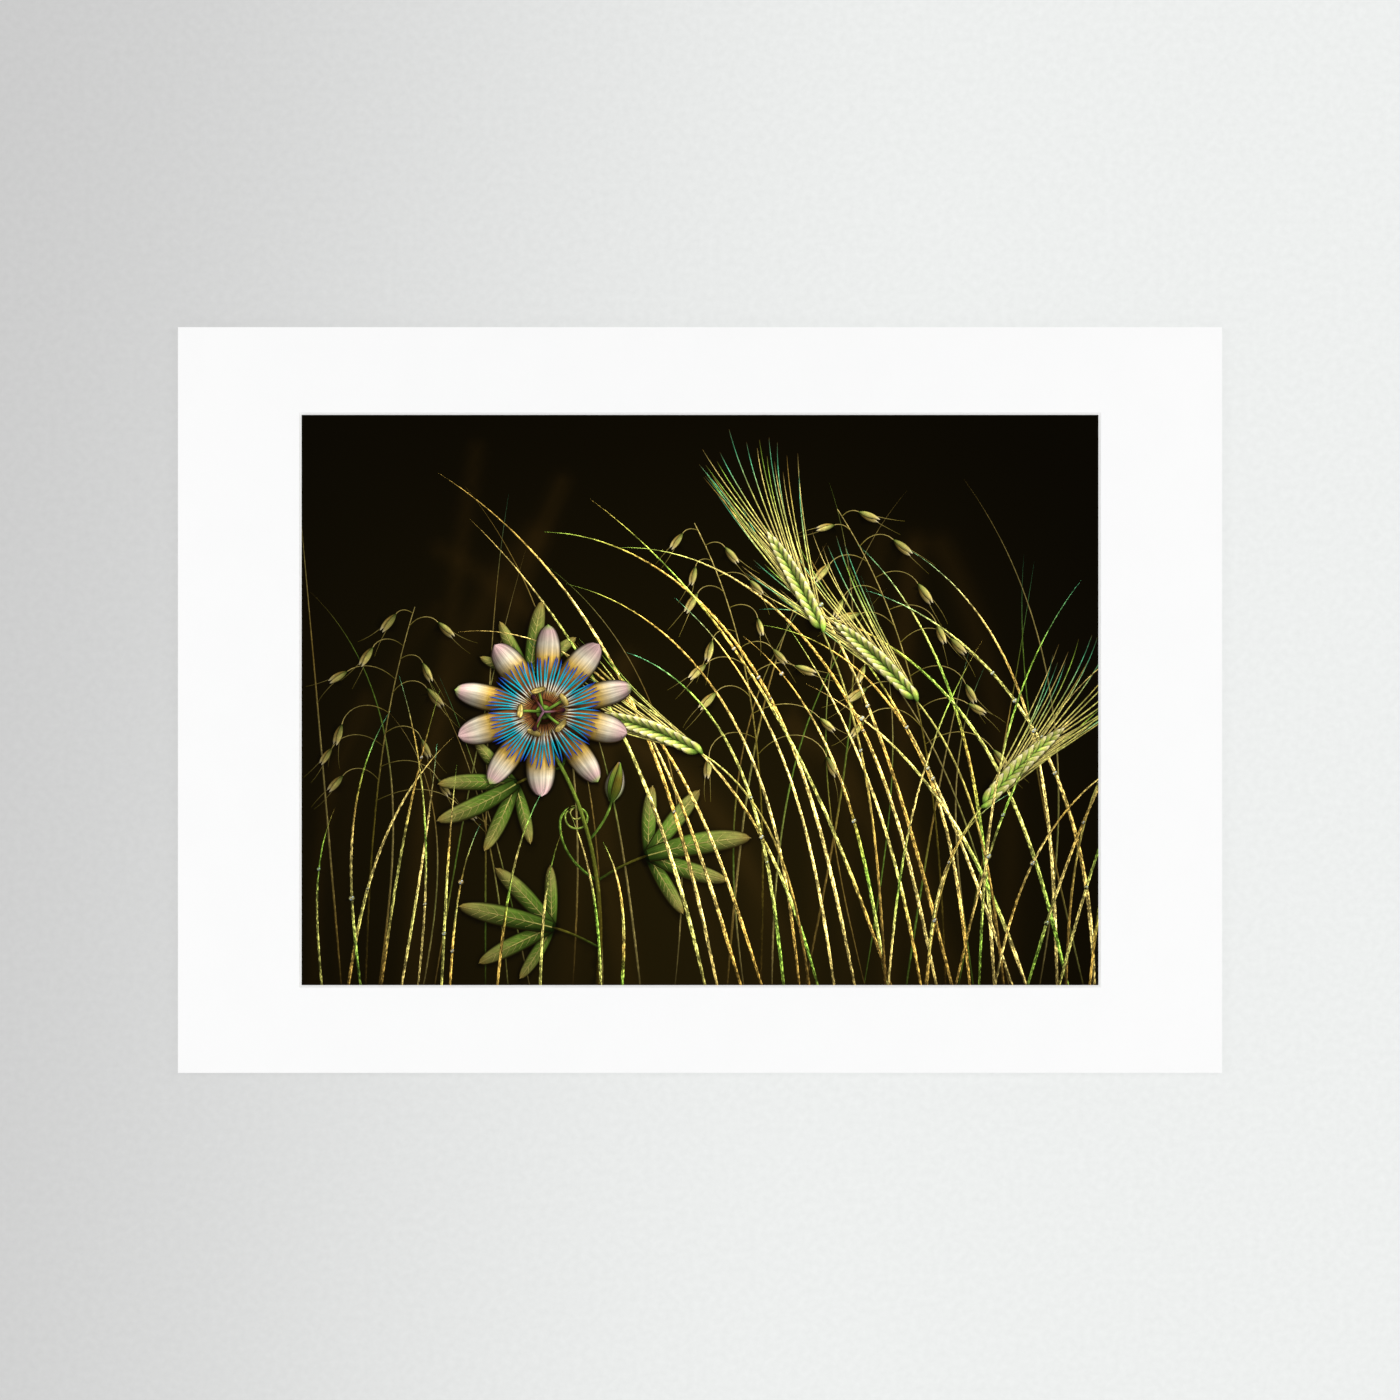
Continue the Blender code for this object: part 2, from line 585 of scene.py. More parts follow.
@dataclass(frozen=True)
class FloorFinish:
    """Pale matt paint with a fine roller grain, and painted shade that makes it a little darker
    towards the left, as if the light fell off there.

    It glows softly, as an opal table lit from below does, so that hardly a shadow gathers at the
    card's edges, and its glow carries the same painted shade. The darkest and the brightest place
    of the painted shade are along X, and the tilt is how far a step up along Y moves them.
    """

    name: str = "floor_paint_and_painted_shade"
    # Painted shade: the floor's colour at its darker left and at its lighter right, as if the light fell
    # off towards the left.
    left: ScreenColor = (201, 201, 201)
    right: ScreenColor = (238, 240, 239)
    darkest: float = -0.64
    brightest: float = 0.16
    tilt: float = -0.12
    grain_pitch: float = 0.0047
    grain_depth: float = 0.00012
    grain_tone: float = 0.105
    glow: float = 0.75
    roughness: float = 0.9
    specular: float = 0.2

    def build(self) -> Material:
        """Makes the material.

        Returns:
            The material.
        """
        recipe = Recipe(self.name)
        place = recipe.place()
        x, y, _ = recipe.split(place)
        # Painted shade, from dark at the left to light at the right, along a slightly tilted line.
        way = recipe.math("MULTIPLY_ADD", y, self.tilt, x)
        share = recipe.step(way, self.darkest, self.brightest)
        color = recipe.mix(share, opaque(self.left), opaque(self.right))
        grain = recipe.noise(place, self.grain_pitch)
        recipe.bump(grain, self.grain_depth)
        tone = recipe.between(grain, 1 - self.grain_tone / 2, 1 + self.grain_tone / 2)
        color = recipe.scaled(color, tone)
        # The glow takes the same colour, painted shade and all.
        recipe.feed(recipe.shader.inputs["Emission Color"], color)
        recipe.shader.inputs["Emission Strength"].default_value = self.glow
        return recipe.finish(recipe.scaled(color, 1 - self.glow), self.roughness, self.specular)


# ---------------- Lines and widths ----------------

# A place in the picture's plane, (x, y).
Spot = Pair | Rows

# The least length that a step along a line is taken to have.
TINY = 1e-12

# What a stroke keeps of its width at its thinnest.
HAIR = 2e-5

# A blade has this share of its width at its root, has filled out in one part of so many, and its
# tip is the blunter the higher the last number is.
BLADE_ROOT, BLADE_FILLING, BLADE_TIP = 0.65, 6, 2.4

# A petal swells evenly at 1 and earlier below it, and its tip is pointed at 1 and rounder below it.
SWELLING, ROUNDING = 0.8, 0.6


def direction(angle: float) -> Rows:
    """The unit vector at this angle from +X."""
    return np.array([math.cos(angle), math.sin(angle)])


def left_of(ahead: Rows) -> Rows:
    """The same vectors, a quarter turn to the left."""
    return np.stack([-ahead[..., 1], ahead[..., 0]], axis=-1)


def heading_at(line: Rows, index: int) -> float:
    """The angle from +X at which a line runs on from the point with this index."""
    ahead = line[index + 1] - line[index]
    return math.atan2(ahead[1], ahead[0])


def round_angle(place: float, count: int) -> float:
    """The angle of one of this many places all round."""
    return 2 * math.pi * place / count


def sweep(root: Spot, angle: float, length: float, turn: float, lateness: float, count: int) -> Rows:
    """A line that bends more and more, as a blade under its own weight does.

    Args:
        root: Where it starts.
        angle: Its first direction, from +X.
        length: How long it is.
        turn: How far it has turned at its tip.
        lateness: How late it turns: 1 turns evenly and 3 mostly near the tip.
        count: How many points it has.

    Returns:
        The points, one a row.
    """
    share = np.linspace(0.0, 1.0, count)
    angles = angle + turn * share**lateness
    steps = np.stack([np.cos(angles), np.sin(angles)], axis=1) * (length / (count - 1))
    return np.array(root) + np.concatenate([[[0.0, 0.0]], np.cumsum(steps[:-1], axis=0)])


def level_line(centre: Spot, radius: float, count: int) -> Rows:
    """A line of this many points that runs level through a centre, one radius to each side."""
    return centre + np.outer(radius * np.linspace(-1.0, 1.0, count), (1.0, 0.0))


def nearest(line: Rows, places: Rows) -> tuple[Rows, Rows]:
    """Finds a line from places near it.

    Args:
        line: The line's points.
        places: The places.

    Returns:
        How many points along the line each place is, with a fraction, and how far to its left.
    """
    start, step = line[:-1], np.diff(line, axis=0)
    away = places[:, None] - start
    share = ((away * step).sum(axis=2) / (step**2).sum(axis=1)).clip(0, 1)
    distance = np.linalg.norm(away - share[..., None] * step, axis=2)
    best = distance.argmin(axis=1)
    row = np.arange(len(places))
    turn = step[best, 0] * away[row, best, 1] - step[best, 1] * away[row, best, 0]
    return best + share[row, best], np.copysign(distance[row, best], turn)


def profile(count: int, *stops: Pair) -> Rows:
    """Half widths that run evenly from stop to stop, each a place from 0 to 1 and a half width."""
    places, widths = zip(*stops)
    return np.interp(np.linspace(0.0, 1.0, count), places, widths)


def blade_widths(half_width: float, count: int) -> Rows:
    """Half widths of a blade that is full for most of its length and ends in a point.

    Args:
        half_width: The greatest.
        count: How many there are.

    Returns:
        The half widths.
    """
    share = np.linspace(0.0, 1.0, count)
    filled = BLADE_ROOT + (1 - BLADE_ROOT) * np.minimum(share * BLADE_FILLING, 1)
    return half_width * (1.0 - share**BLADE_TIP) * filled + HAIR


def petal_widths(half_width: float, count: int, waist: float, tip: float) -> Rows:
    """Half widths of a petal, from this share of the greatest at its root to a tip this blunt."""
    share = np.linspace(0.0, 1.0, count)
    return half_width * (waist + (1 - waist) * share**SWELLING) * (1 - share**tip) ** ROUNDING + HAIR


def husk_widths(count: int, root: float, tip: float, power: float) -> Rows:
    """Shares of a husk's half width: a half wave from root to tip, fuller where the power is low."""
    return np.sin(math.pi * np.linspace(root, tip, count)) ** power


def spot_widths(half_width: float, count: int, power: int = 2) -> Rows:
    """Half widths of a round spot along a level line. A higher even power makes it squarer."""
    return half_width * np.sqrt(1.0 - np.linspace(-1.0, 1.0, count) ** power) + HAIR


# ---------------- The picture's light ----------------

# Where the light comes from in the picture, and how far it throws a shadow.
LIGHT_HEADING = 52.0
LIGHT = direction(math.radians(LIGHT_HEADING))
SHADOW_SHIFT = np.array([-0.0006, -0.0009])
SHADOW_FALL = 1.5


@dataclass(frozen=True)
class Pool:
    """A soft pool of light or colour, which fades out all round its centre."""

    centre: Pair
    reach: Pair
    strength: float = 1.0

    def at(self, places: Rows) -> Rows:
        """How strong it is at each place."""
        return self.strength * np.exp(-(((places - self.centre) / self.reach) ** 2).sum(axis=-1))


DIMMEST = 0.28
LIGHT_POOL = Pool(centre=(0.02, 0.03), reach=(0.245, 0.20), strength=1 - DIMMEST)


def light_pool(places: Rows) -> Rows:
    """How strongly the picture's light falls at these places, from 0.28 to 1."""
    return DIMMEST + LIGHT_POOL.at(places)


# ---------------- Strokes ----------------

# What a stroke shows at a place: three numbers of its ink, its cover, the way along and across,
# the seed, how squarely its left side faces the light, the glint and the vein.
COLUMNS = {Layer.INK: slice(0, 4), Layer.STROKE: slice(4, 7), Layer.LIGHT: slice(7, 10)}
COLUMN_COUNT = 10


@dataclass(frozen=True)
class Look:
    """How a stroke takes the light.

    The glint is how far its highlight breaks up into beads, and the vein how strongly it is
    veined, both from 0 to 1. The shadow is the share of light that it takes from what lies under
    it, and the reach how far past its edges that goes.
    """

    glint: float = 0.0
    vein: float = 0.0
    shadow: float = 0.0
    reach: float = 0.0016


@dataclass(frozen=True)
class Stroke:
    """A flat tapering shape along a line, such as a blade of grass, a petal or a thread.

    The line has one point a row, and the half widths and the inks one for each point. The seed
    is a number from 0 to 1 that sets its streaks and beads apart from those of the others.
    """

    line: Rows
    half_widths: Rows
    inks: Rows
    seed: float
    look: Look = Look()

    def left(self) -> Rows:
        """The unit vector to the left of the line at each point."""
        ahead = np.gradient(self.line, axis=0)
        return left_of(ahead / np.maximum(np.linalg.norm(ahead, axis=1), TINY)[:, None])

    def outline(self) -> Rows:
        """The closed outline, up its left side and back down its right one."""
        offset = self.left() * self.half_widths[:, None]
        return np.concatenate([self.line + offset, (self.line - offset)[::-1]])

    def up_to(self, count: int) -> "Stroke":
        """The same stroke with only its first points."""
        kept = {name: getattr(self, name)[:count] for name in ("line", "half_widths", "inks")}
        return replace(self, **kept)

    def read(self, places: Rows) -> Rows:
        """Reads what the stroke shows at places on it.

        Args:
            places: The places.

        Returns:
            One row for each place, in the order of COLUMNS.
        """
        at, off = nearest(self.line, places)
        rows = np.arange(len(self.line))
        steps = np.linalg.norm(np.diff(self.line, axis=0), axis=1)
        along = np.interp(at, rows, np.concatenate([[0.0], np.cumsum(steps)]))
        across = (off / np.interp(at, rows, self.half_widths)).clip(-1, 1)
        ink = [np.interp(at, rows, channel) for channel in self.inks.T]
        facing = np.interp(at, rows, self.left() @ LIGHT)
        everywhere = (1.0, self.seed, self.look.glint, self.look.vein)
        cover, seed, glint, vein = np.tile(everywhere, (len(places), 1)).T
        return np.stack([*ink, cover, along, across, seed, facing, glint, vein], axis=1)

    def shade(self, places: Rows) -> Rows:
        """Finds how the stroke's shadow falls on places under it.

        Args:
            places: The places.

        Returns:
            The share of light that it leaves at each.
        """
        at, off = nearest(self.line, places - SHADOW_SHIFT)
        width = np.interp(at, np.arange(len(self.line)), self.half_widths)
        fade = (1 - (np.abs(off) - width) / self.look.reach).clip(0, 1)
        return 1 - self.look.shadow * fade**SHADOW_FALL


@dataclass(frozen=True)
class Pen:
    """How strokes of one kind are drawn: in which inks, how wide and with which look.

    The half widths are shares where the strokes give a width of their own. The picture's light
    falls on the strokes, unless the pen is in full light.
    """

    stops: Stops
    half_widths: Rows
    look: Look = Look()
    brightness: float = 1.0
    full_light: bool = False

    @property
    def count(self) -> int:
        """How many points its lines have."""
        return len(self.half_widths)

    def tinted(self, index: int, tint: Tint) -> "Pen":
        """The same pen with another ink at one of its stops."""
        before, (place, _), after = self.stops[:index], self.stops[index], self.stops[index + 1 :]
        return replace(self, stops=(*before, (place, tint), *after))

    def stroke(self, line: Rows, seed: float, brightness: float = 1.0, width: float = 1.0) -> Stroke:
        """Draws along a line.

        Args:
            line: The line.
            seed: The stroke's seed.
            brightness: How many times as bright as usual it is.
            width: How many times as wide as usual it is.

        Returns:
            The stroke.
        """
        light = np.ones(len(line)) if self.full_light else light_pool(line)
        light = self.brightness * brightness * light
        inks = shades(self.stops, np.linspace(0.0, 1.0, len(line))) * light[:, None]
        return Stroke(line, width * self.half_widths, inks, seed, self.look)


# ---------------- The drawing ----------------

# How delaunay_2d_cdt is asked for all triangles, and how near two points have to be to become one.
ALL_TRIANGLES = 0
MERGE_DISTANCE = 1e-7


@dataclass
class Plane:
    """The picture's plane in triangles, each with what shows there.

    Points are (x, y) and triangles index them. Values and shade have a row for each corner of
    each triangle, with what Stroke.read and Stroke.shade give. Bare marks the triangles outside
    the printed area.
    """

    points: Rows
    triangles: Rows
    values: Rows
    shade: Rows
    bare: Rows


def rectangle(half_x: float, half_y: float) -> Rows:
    """The four corners of a rectangle about the middle, anticlockwise."""
    return np.array([(-half_x, -half_y), (half_x, -half_y), (half_x, half_y), (-half_x, half_y)])


def grid(half_x: float, half_y: float, pitch: float) -> Rows:
    """The points of a grid that fills a rectangle about the middle, with every other row moved on.

    Args:
        half_x: Half of the rectangle's size along X.
        half_y: Half of its size along Y.
        pitch: How far apart the points are.

    Returns:
        The points, one a row.
    """
    rows = np.arange(-half_y + pitch / 2, half_y, pitch)
    columns = np.arange(-half_x + pitch / 2, half_x - pitch / 2, pitch)
    x, y = np.meshgrid(columns, rows)
    x[1::2] += pitch / 2
    return np.stack([x.ravel(), y.ravel()], axis=1)


def held(places: Rows, outline: Rows) -> Rows:
    """Tells which places lie inside an outline, by how often a level line to the right crosses it.

    Args:
        places: The places.
        outline: The outline's points.

    Returns:
        True for each place inside.
    """
    x, y = places[:, 0:1], places[:, 1:2]
    start, end = outline, np.roll(outline, -1, axis=0)
    spans = (start[:, 1] > y) != (end[:, 1] > y)
    rise = np.where(start[:, 1] == end[:, 1], 1.0, end[:, 1] - start[:, 1])
    meets = start[:, 0] + (y - start[:, 1]) * (end[:, 0] - start[:, 0]) / rise
    return (spans & (x < meets)).sum(axis=1) % 2 == 1


def near(places: Rows, outline: Rows, reach: float) -> Rows:
    """The indexes of the places inside an outline's box, when that is grown by the reach."""
    low, high = outline.min(axis=0) - reach, outline.max(axis=0) + reach
    return np.flatnonzero(((places > low) & (places < high)).all(axis=1))


@dataclass
class Drawing:
    """Strokes laid over one another on a sheet, the later ones on top.

    The sheet and the printed area are given as half of their size along X and Y. The pitch is
    that of the points which fill the plane, and no stroke comes nearer than the rim to the
    sheet's edge.
    """

    sheet: Pair
    printed: Pair
    pitch: float = 0.006
    rim: float = 0.005
    fewest_points: int = 3
    deepest_shade: float = 0.24
    strokes: list[Stroke] = field(default_factory=list)
    dots: list[Rows] = field(default_factory=list)

    def lay(self, stroke: Stroke) -> None:
        """Lays a stroke over what is there, up to where it leaves the sheet.

        Args:
            stroke: The stroke.
        """
        inside = (np.abs(stroke.line) < np.array(self.sheet) - self.rim).all(axis=1)
        count = len(inside) if inside.all() else int(inside.argmin())
        if count >= self.fewest_points:
            self.strokes.append(stroke.up_to(count))

    def refine(self, centre: Spot, radius: float, pitch: float) -> None:
        """Adds points inside a circle of this radius and pitch, so that soft shadows show there."""
        dots = grid(radius, radius, pitch)
        self.dots.append(dots[np.linalg.norm(dots, axis=1) < radius] + centre)

    def part(self) -> Plane:
        """Parts the plane by every outline and finds what shows in each part.

        Returns:
            The parted plane.
        """
        outlines = [stroke.outline() for stroke in self.strokes]
        frames = [rectangle(*self.printed), rectangle(*self.sheet)]
        edges = []
        count = 0
        for outline in outlines + frames:
            ring = count + np.arange(len(outline))
            edges.append(np.stack([ring, np.roll(ring, -1)], axis=1))
            count += len(outline)
        points = np.concatenate(outlines + frames + self.dots + [grid(*self.sheet, self.pitch)])
        vectors = [Vector(point) for point in points.tolist()]
        edge_list = np.concatenate(edges).tolist()
        found = delaunay_2d_cdt(vectors, edge_list, [], ALL_TRIANGLES, MERGE_DISTANCE, False)
        parts = np.array([tuple(point) for point in found[0]])
        return self.shown(parts, np.array(found[2]), outlines)

    def shown(self, points: Rows, triangles: Rows, outlines: list[Rows]) -> Plane:
        """Reads what shows in each triangle of the parted plane.

        Args:
            points: The plane's points.
            triangles: Its triangles.
            outlines: The strokes' outlines, in order.

        Returns:
            The parted plane.
        """
        corners = points[triangles]
        middles = corners.mean(axis=1)
        bare = (np.abs(middles) > self.printed).any(axis=1)
        top = np.full(len(triangles), -1)
        for index, outline in enumerate(outlines):
            close = near(middles, outline, 0.0)
            top[close[held(middles[close], outline)]] = index
        values = np.zeros((len(triangles), 3, COLUMN_COUNT))
        shade = np.ones((len(triangles), 3))
        for index, stroke in enumerate(self.strokes):
            own = np.flatnonzero(top == index)
            values[own] = stroke.read(corners[own].reshape(-1, 2)).reshape(-1, 3, COLUMN_COUNT)
            if stroke.look.shadow:
                close = near(middles, outlines[index], 2 * stroke.look.reach)
                under = close[top[close] < index]
                shade[under] *= stroke.shade(corners[under].reshape(-1, 2)).reshape(-1, 3)
        return Plane(points, triangles, values, shade.clip(self.deepest_shade), bare)


class Motif(Protocol):
    """Anything that can be drawn."""

    def draw(self, drawing: Drawing) -> None:
        """Lays its strokes on the drawing."""


# ---------------- The motifs ----------------

# Where the meadow stands, just below the printed area.
FOOT = -0.2045


@dataclass
class Grasses:
    """A clump of long thin blades that bend over in the wind.

    The roots are the ends of the stretch that they stand on. Each pair from there on is the least
    and the most that a blade may have.
    """

    seed: int
    count: int
    brightness: float
    roots: Pair
    headings: Pair
    lengths: Pair
    turns: Pair
    half_widths: Pair
    look: Look = Look(glint=0.9)
    standing: Pair = (0.1, 0.9)
    lateness: Pair = (1.4, 2.6)
    fewest_points: int = 14
    points_a_metre: float = 90.0
    root_tint: Tint = Tint.UMBER
    places: tuple[float, ...] = (0.15, 0.32, 0.50, 0.66, 0.82)
    tints: tuple[Tint, ...] = (
        Tint.OLD_GOLD, Tint.STRAW, Tint.LIME, Tint.STRAW, Tint.HONEY, Tint.SPRING_GREEN
    )
    tip_tints: tuple[Tint, ...] = (Tint.SPRING_GREEN, Tint.SEA_GREEN, Tint.OLD_GOLD)

    def draw(self, drawing: Drawing) -> None:
        """Draws the blades.

        Args:
            drawing: The drawing to lay them on.
        """
        chance = Random(self.seed)
        first, last = self.roots
        for index in range(self.count):
            share = (index + chance.uniform(*self.standing)) / self.count
            root = (first + share * (last - first), FOOT)
            heading = math.radians(chance.uniform(*self.headings))
            length = chance.uniform(*self.lengths)
            turn = math.radians(chance.uniform(*self.turns))
            count = int(self.fewest_points + length * self.points_a_metre)
            line = sweep(root, heading, length, turn, chance.uniform(*self.lateness), count)
            stops = [(0.0, self.root_tint)]
            stops += [(place, chance.choice(self.tints)) for place in self.places]
            stops.append((1.0, chance.choice(self.tip_tints)))
            widths = blade_widths(chance.uniform(*self.half_widths), count)
            pen = Pen(stops, widths, self.look, self.brightness)
            drawing.lay(pen.stroke(line, chance.random()))


@dataclass
class Growing:
    """What grows from a root at a heading, and turns more and more towards its tip."""

    seed: int
    root: Spot
    heading: float
    length: float
    turn: float

    def grown(self, lateness: float, count: int) -> Rows:
        """The line that it grows along, turning this late, with this many points."""
        heading, turn = math.radians(self.heading), math.radians(self.turn)
        return sweep(self.root, heading, self.length, turn, lateness, count)


@dataclass
class Oats(Growing):
    """A tall stem of wild oats, with spikelets that hang from fine branches.

    The branches stand to the left and the right in turn, from their lowest place on the stem up,
    and get shorter by the taper. Each spikelet has two bristles and two husks that open a little.
    """

    spikelets: int
    brightness: float = 1.0
    lateness: float = 2.0
    stem: Pen = Pen(
        stops=((0.0, Tint.UMBER), (0.5, Tint.OLIVE), (1.0, Tint.STRAW)),
        half_widths=np.linspace(0.0009, 0.0003, 60),
        look=Look(glint=0.5),
    )
    branch: Pen = Pen(
        stops=((0.0, Tint.OLIVE), (1.0, Tint.STRAW)),
        half_widths=np.full(12, 0.00028),
        look=Look(glint=0.3),
    )
    lowest_branch: float = 0.52
    branch_taper: float = 1.25
    branch_reach: Pair = (0.04, 0.085)
    branch_spread: Pair = (38.0, 68.0)
    branch_droop: Pair = (70.0, 125.0)
    branch_lateness: float = 1.3
    sizes: Pair = (0.85, 1.15)
    bristle: Pen = Pen(
        stops=((0.0, Tint.STRAW), (1.0, Tint.OLIVE)),
        half_widths=np.linspace(0.00028, 0.0001, 9),
        look=Look(glint=0.2),
    )
    bristle_length: float = 0.030
    bristle_splays: Pair = (-0.10, 0.16)
    bristle_bend: Pair = (-0.5, 0.5)
    husk: Pen = Pen(
        stops=((0.0, Tint.MOSS), (0.35, Tint.LIME), (0.8, Tint.STRAW), (1.0, Tint.PALE_STRAW)),
        half_widths=husk_widths(12, root=0.02, tip=0.99, power=0.8),
        look=Look(glint=0.15, vein=0.9, shadow=0.5, reach=0.0008),
        brightness=1.3,
    )
    husk_length: float = 0.0145
    husk_half_width: float = 0.0019
    husk_splays: Pair = (-0.17, 0.15)
    husk_tints: tuple[Tint, Tint] = (Tint.OLD_GOLD, Tint.LIME)
    husk_curl_share: float = -1.2

    def draw(self, drawing: Drawing) -> None:
        """Draws the stem, its branches and its spikelets.

        Args:
            drawing: The drawing to lay them on.
        """
        chance = Random(self.seed)
        stem = self.grown(self.lateness, self.stem.count)
        drawing.lay(self.stem.stroke(stem, chance.random(), self.brightness))
        for index in range(self.spikelets):
            place = self.lowest_branch + (1 - self.lowest_branch) * index / (self.spikelets - 1)
            knot = stem[min(int(place * (len(stem) - 1)), len(stem) - 2)]
            side = 1.0 if index % 2 else -1.0
            reach = (self.branch_taper - place) * chance.uniform(*self.branch_reach)
            heading = math.radians(90 + side * chance.uniform(*self.branch_spread))
            droop = side * math.radians(chance.uniform(*self.branch_droop))
            branch = sweep(knot, heading, reach, droop, self.branch_lateness, self.branch.count)
            drawing.lay(self.branch.stroke(branch, chance.random(), self.brightness))
            self.draw_spikelet(drawing, branch, chance)

    def draw_spikelet(self, drawing: Drawing, branch: Rows, chance: Random) -> None:
        """Draws one spikelet.

        Args:
            drawing: The drawing to lay it on.
            branch: The line of the branch that it hangs from.
            chance: Where its small differences come from.
        """
        root, fall = branch[-1], heading_at(branch, -2)
        size = chance.uniform(*self.sizes)
        for splay in self.bristle_splays:
            bend = chance.uniform(*self.bristle_bend)
            line = sweep(root, fall + splay, self.bristle_length * size, bend, 2.0, self.bristle.count)
            drawing.lay(self.bristle.stroke(line, chance.random(), self.brightness))
        for splay, tint in zip(self.husk_splays, self.husk_tints):
            curl = self.husk_curl_share * splay
            line = sweep(root, fall + splay, self.husk_length * size, curl, 1.0, self.husk.count)
            width = self.husk_half_width * size
            drawing.lay(self.husk.tinted(1, tint).stroke(line, chance.random(), self.brightness, width))


@dataclass(frozen=True)
class Seat:
    """Where a grain sits on an ear of barley.

    The angle is that of the ear there. The side is 1 in the left row, -1 in the right one and 0
    for the grain at the tip, and the share is how far up the ear it sits, from 0 to 1.
    """

    place: Rows
    angle: float
    side: float
    share: float


@dataclass
class Barley(Growing):
    """An ear of barley on its stem: two rows of grains, each with a long bristle.

    The ear goes on turning as its stem does, by a share of the stem's turn. Its grains are
    largest at the share of its length that is called fullest, and get smaller away from there.
    """

    brightness: float = 1.8
    lateness: float = 2.2
    stem: Pen = Pen(
        stops=((0.0, Tint.UMBER), (0.4, Tint.OLD_GOLD), (1.0, Tint.LIME)),
        half_widths=np.linspace(0.0011, 0.0006, 50),
        look=Look(glint=0.7),
    )
    ear: float = 0.070
    ear_turn_share: float = 0.35
    pairs: int = 12
    closing: int = 8
    grain: Pen = Pen(
        stops=((0.0, Tint.MOSS), (0.3, Tint.SPRING_GREEN), (0.7, Tint.LIME), (1.0, Tint.PALE_STRAW)),
        half_widths=husk_widths(10, root=0.06, tip=0.97, power=0.7),
        look=Look(glint=0.15, vein=0.8, shadow=0.7, reach=0.0013),
        brightness=1.1,
    )
    grain_size: float = 1.08
    grain_taper: float = 0.30
    fullest: float = 0.4
    grain_length: float = 0.0140
    grain_half_width: float = 0.0027
    grain_splay: float = 0.50
    grain_curl: float = -0.42
    bristle: Pen = Pen(
        stops=((0.0, Tint.STRAW), (0.4, Tint.LIME), (0.8, Tint.SPRING_GREEN), (1.0, Tint.UMBER)),
        half_widths=np.linspace(0.00055, 0.00018, 16),
        look=Look(glint=0.5),
    )
    bristle_tints: tuple[Tint, ...] = (Tint.SPRING_GREEN, Tint.OLD_GOLD, Tint.SEA_GREEN, Tint.STRAW)
    bristle_length: float = 0.100
    bristle_taper: float = 0.30
    bristle_sizes: Pair = (0.85, 1.12)
    bristle_splay: float = 0.20
    bristle_scatter: Pair = (-0.05, 0.05)
    bristle_bend: Pair = (-0.02, 0.20)
    bristle_fall: float = 0.15
    bristle_lateness: float = 1.8

    def draw(self, drawing: Drawing) -> None:
        """Draws the stem, then the bristles, then the grains from the tip of the ear down.

        Args:
            drawing: The drawing to lay them on.
        """
        chance = Random(self.seed)
        stem = self.grown(self.lateness, self.stem.count)
        drawing.lay(self.stem.stroke(stem, chance.random(), self.brightness))
        turn = math.radians(self.turn)
        forward, droop = math.radians(self.heading) + turn, self.ear_turn_share * turn
        rows = 2 * self.pairs + 1
        core = sweep(stem[-1], forward, self.ear, droop, 1.0, rows + 1)
        grains = []
        for row in range(rows):
            share = row / (rows - 1)
            side = (1 if row % 2 else -1) * (1.0 - share**self.closing)
            seat = Seat(core[row], forward + droop * share, side, share)
            grains.append(self.draw_bristle(drawing, seat, chance))
        for grain in reversed(grains):
            drawing.lay(grain)

    def draw_bristle(self, drawing: Drawing, seat: Seat, chance: Random) -> Stroke:
        """Draws one bristle, and makes the grain that it grows from.

        Args:
            drawing: The drawing to lay the bristle on.
            seat: Where the grain sits.
            chance: Where the small differences come from.

        Returns:
            The grain, not yet laid.
        """
        size = self.grain_size - self.grain_taper * abs(2 * seat.share - 2 * self.fullest)
        splay, curl = self.grain_splay * seat.side, self.grain_curl * seat.side
        length = self.grain_length * size
        grain = sweep(seat.place, seat.angle + splay, length, curl, 1.0, self.grain.count)
        splay = self.bristle_splay * seat.side + chance.uniform(*self.bristle_scatter)
        reach = self.bristle_length * (1.0 - self.bristle_taper * seat.share)
        reach *= chance.uniform(*self.bristle_sizes)
        bend = seat.side * chance.uniform(*self.bristle_bend)
        bend -= math.copysign(self.bristle_fall, self.turn)
        count = self.bristle.count
        away = sweep(grain[-2], seat.angle + splay, reach, bend, self.bristle_lateness, count)
        pen = self.bristle.tinted(2, chance.choice(self.bristle_tints))
        drawing.lay(pen.stroke(away, chance.random(), self.brightness))
        width = self.grain_half_width * size
        return self.grain.stroke(grain, chance.random(), self.brightness, width)


@dataclass(frozen=True)
class DropPart:
    """One round part of a drop of dew.

    The shift is how far it lies towards the light, and the size how large it is, both in radii
    of the drop. It shows so much of the blade's ink and so much of the light.
    """

    shift: float
    size: float
    ink: float
    light: float
    shadow: float = 0.0


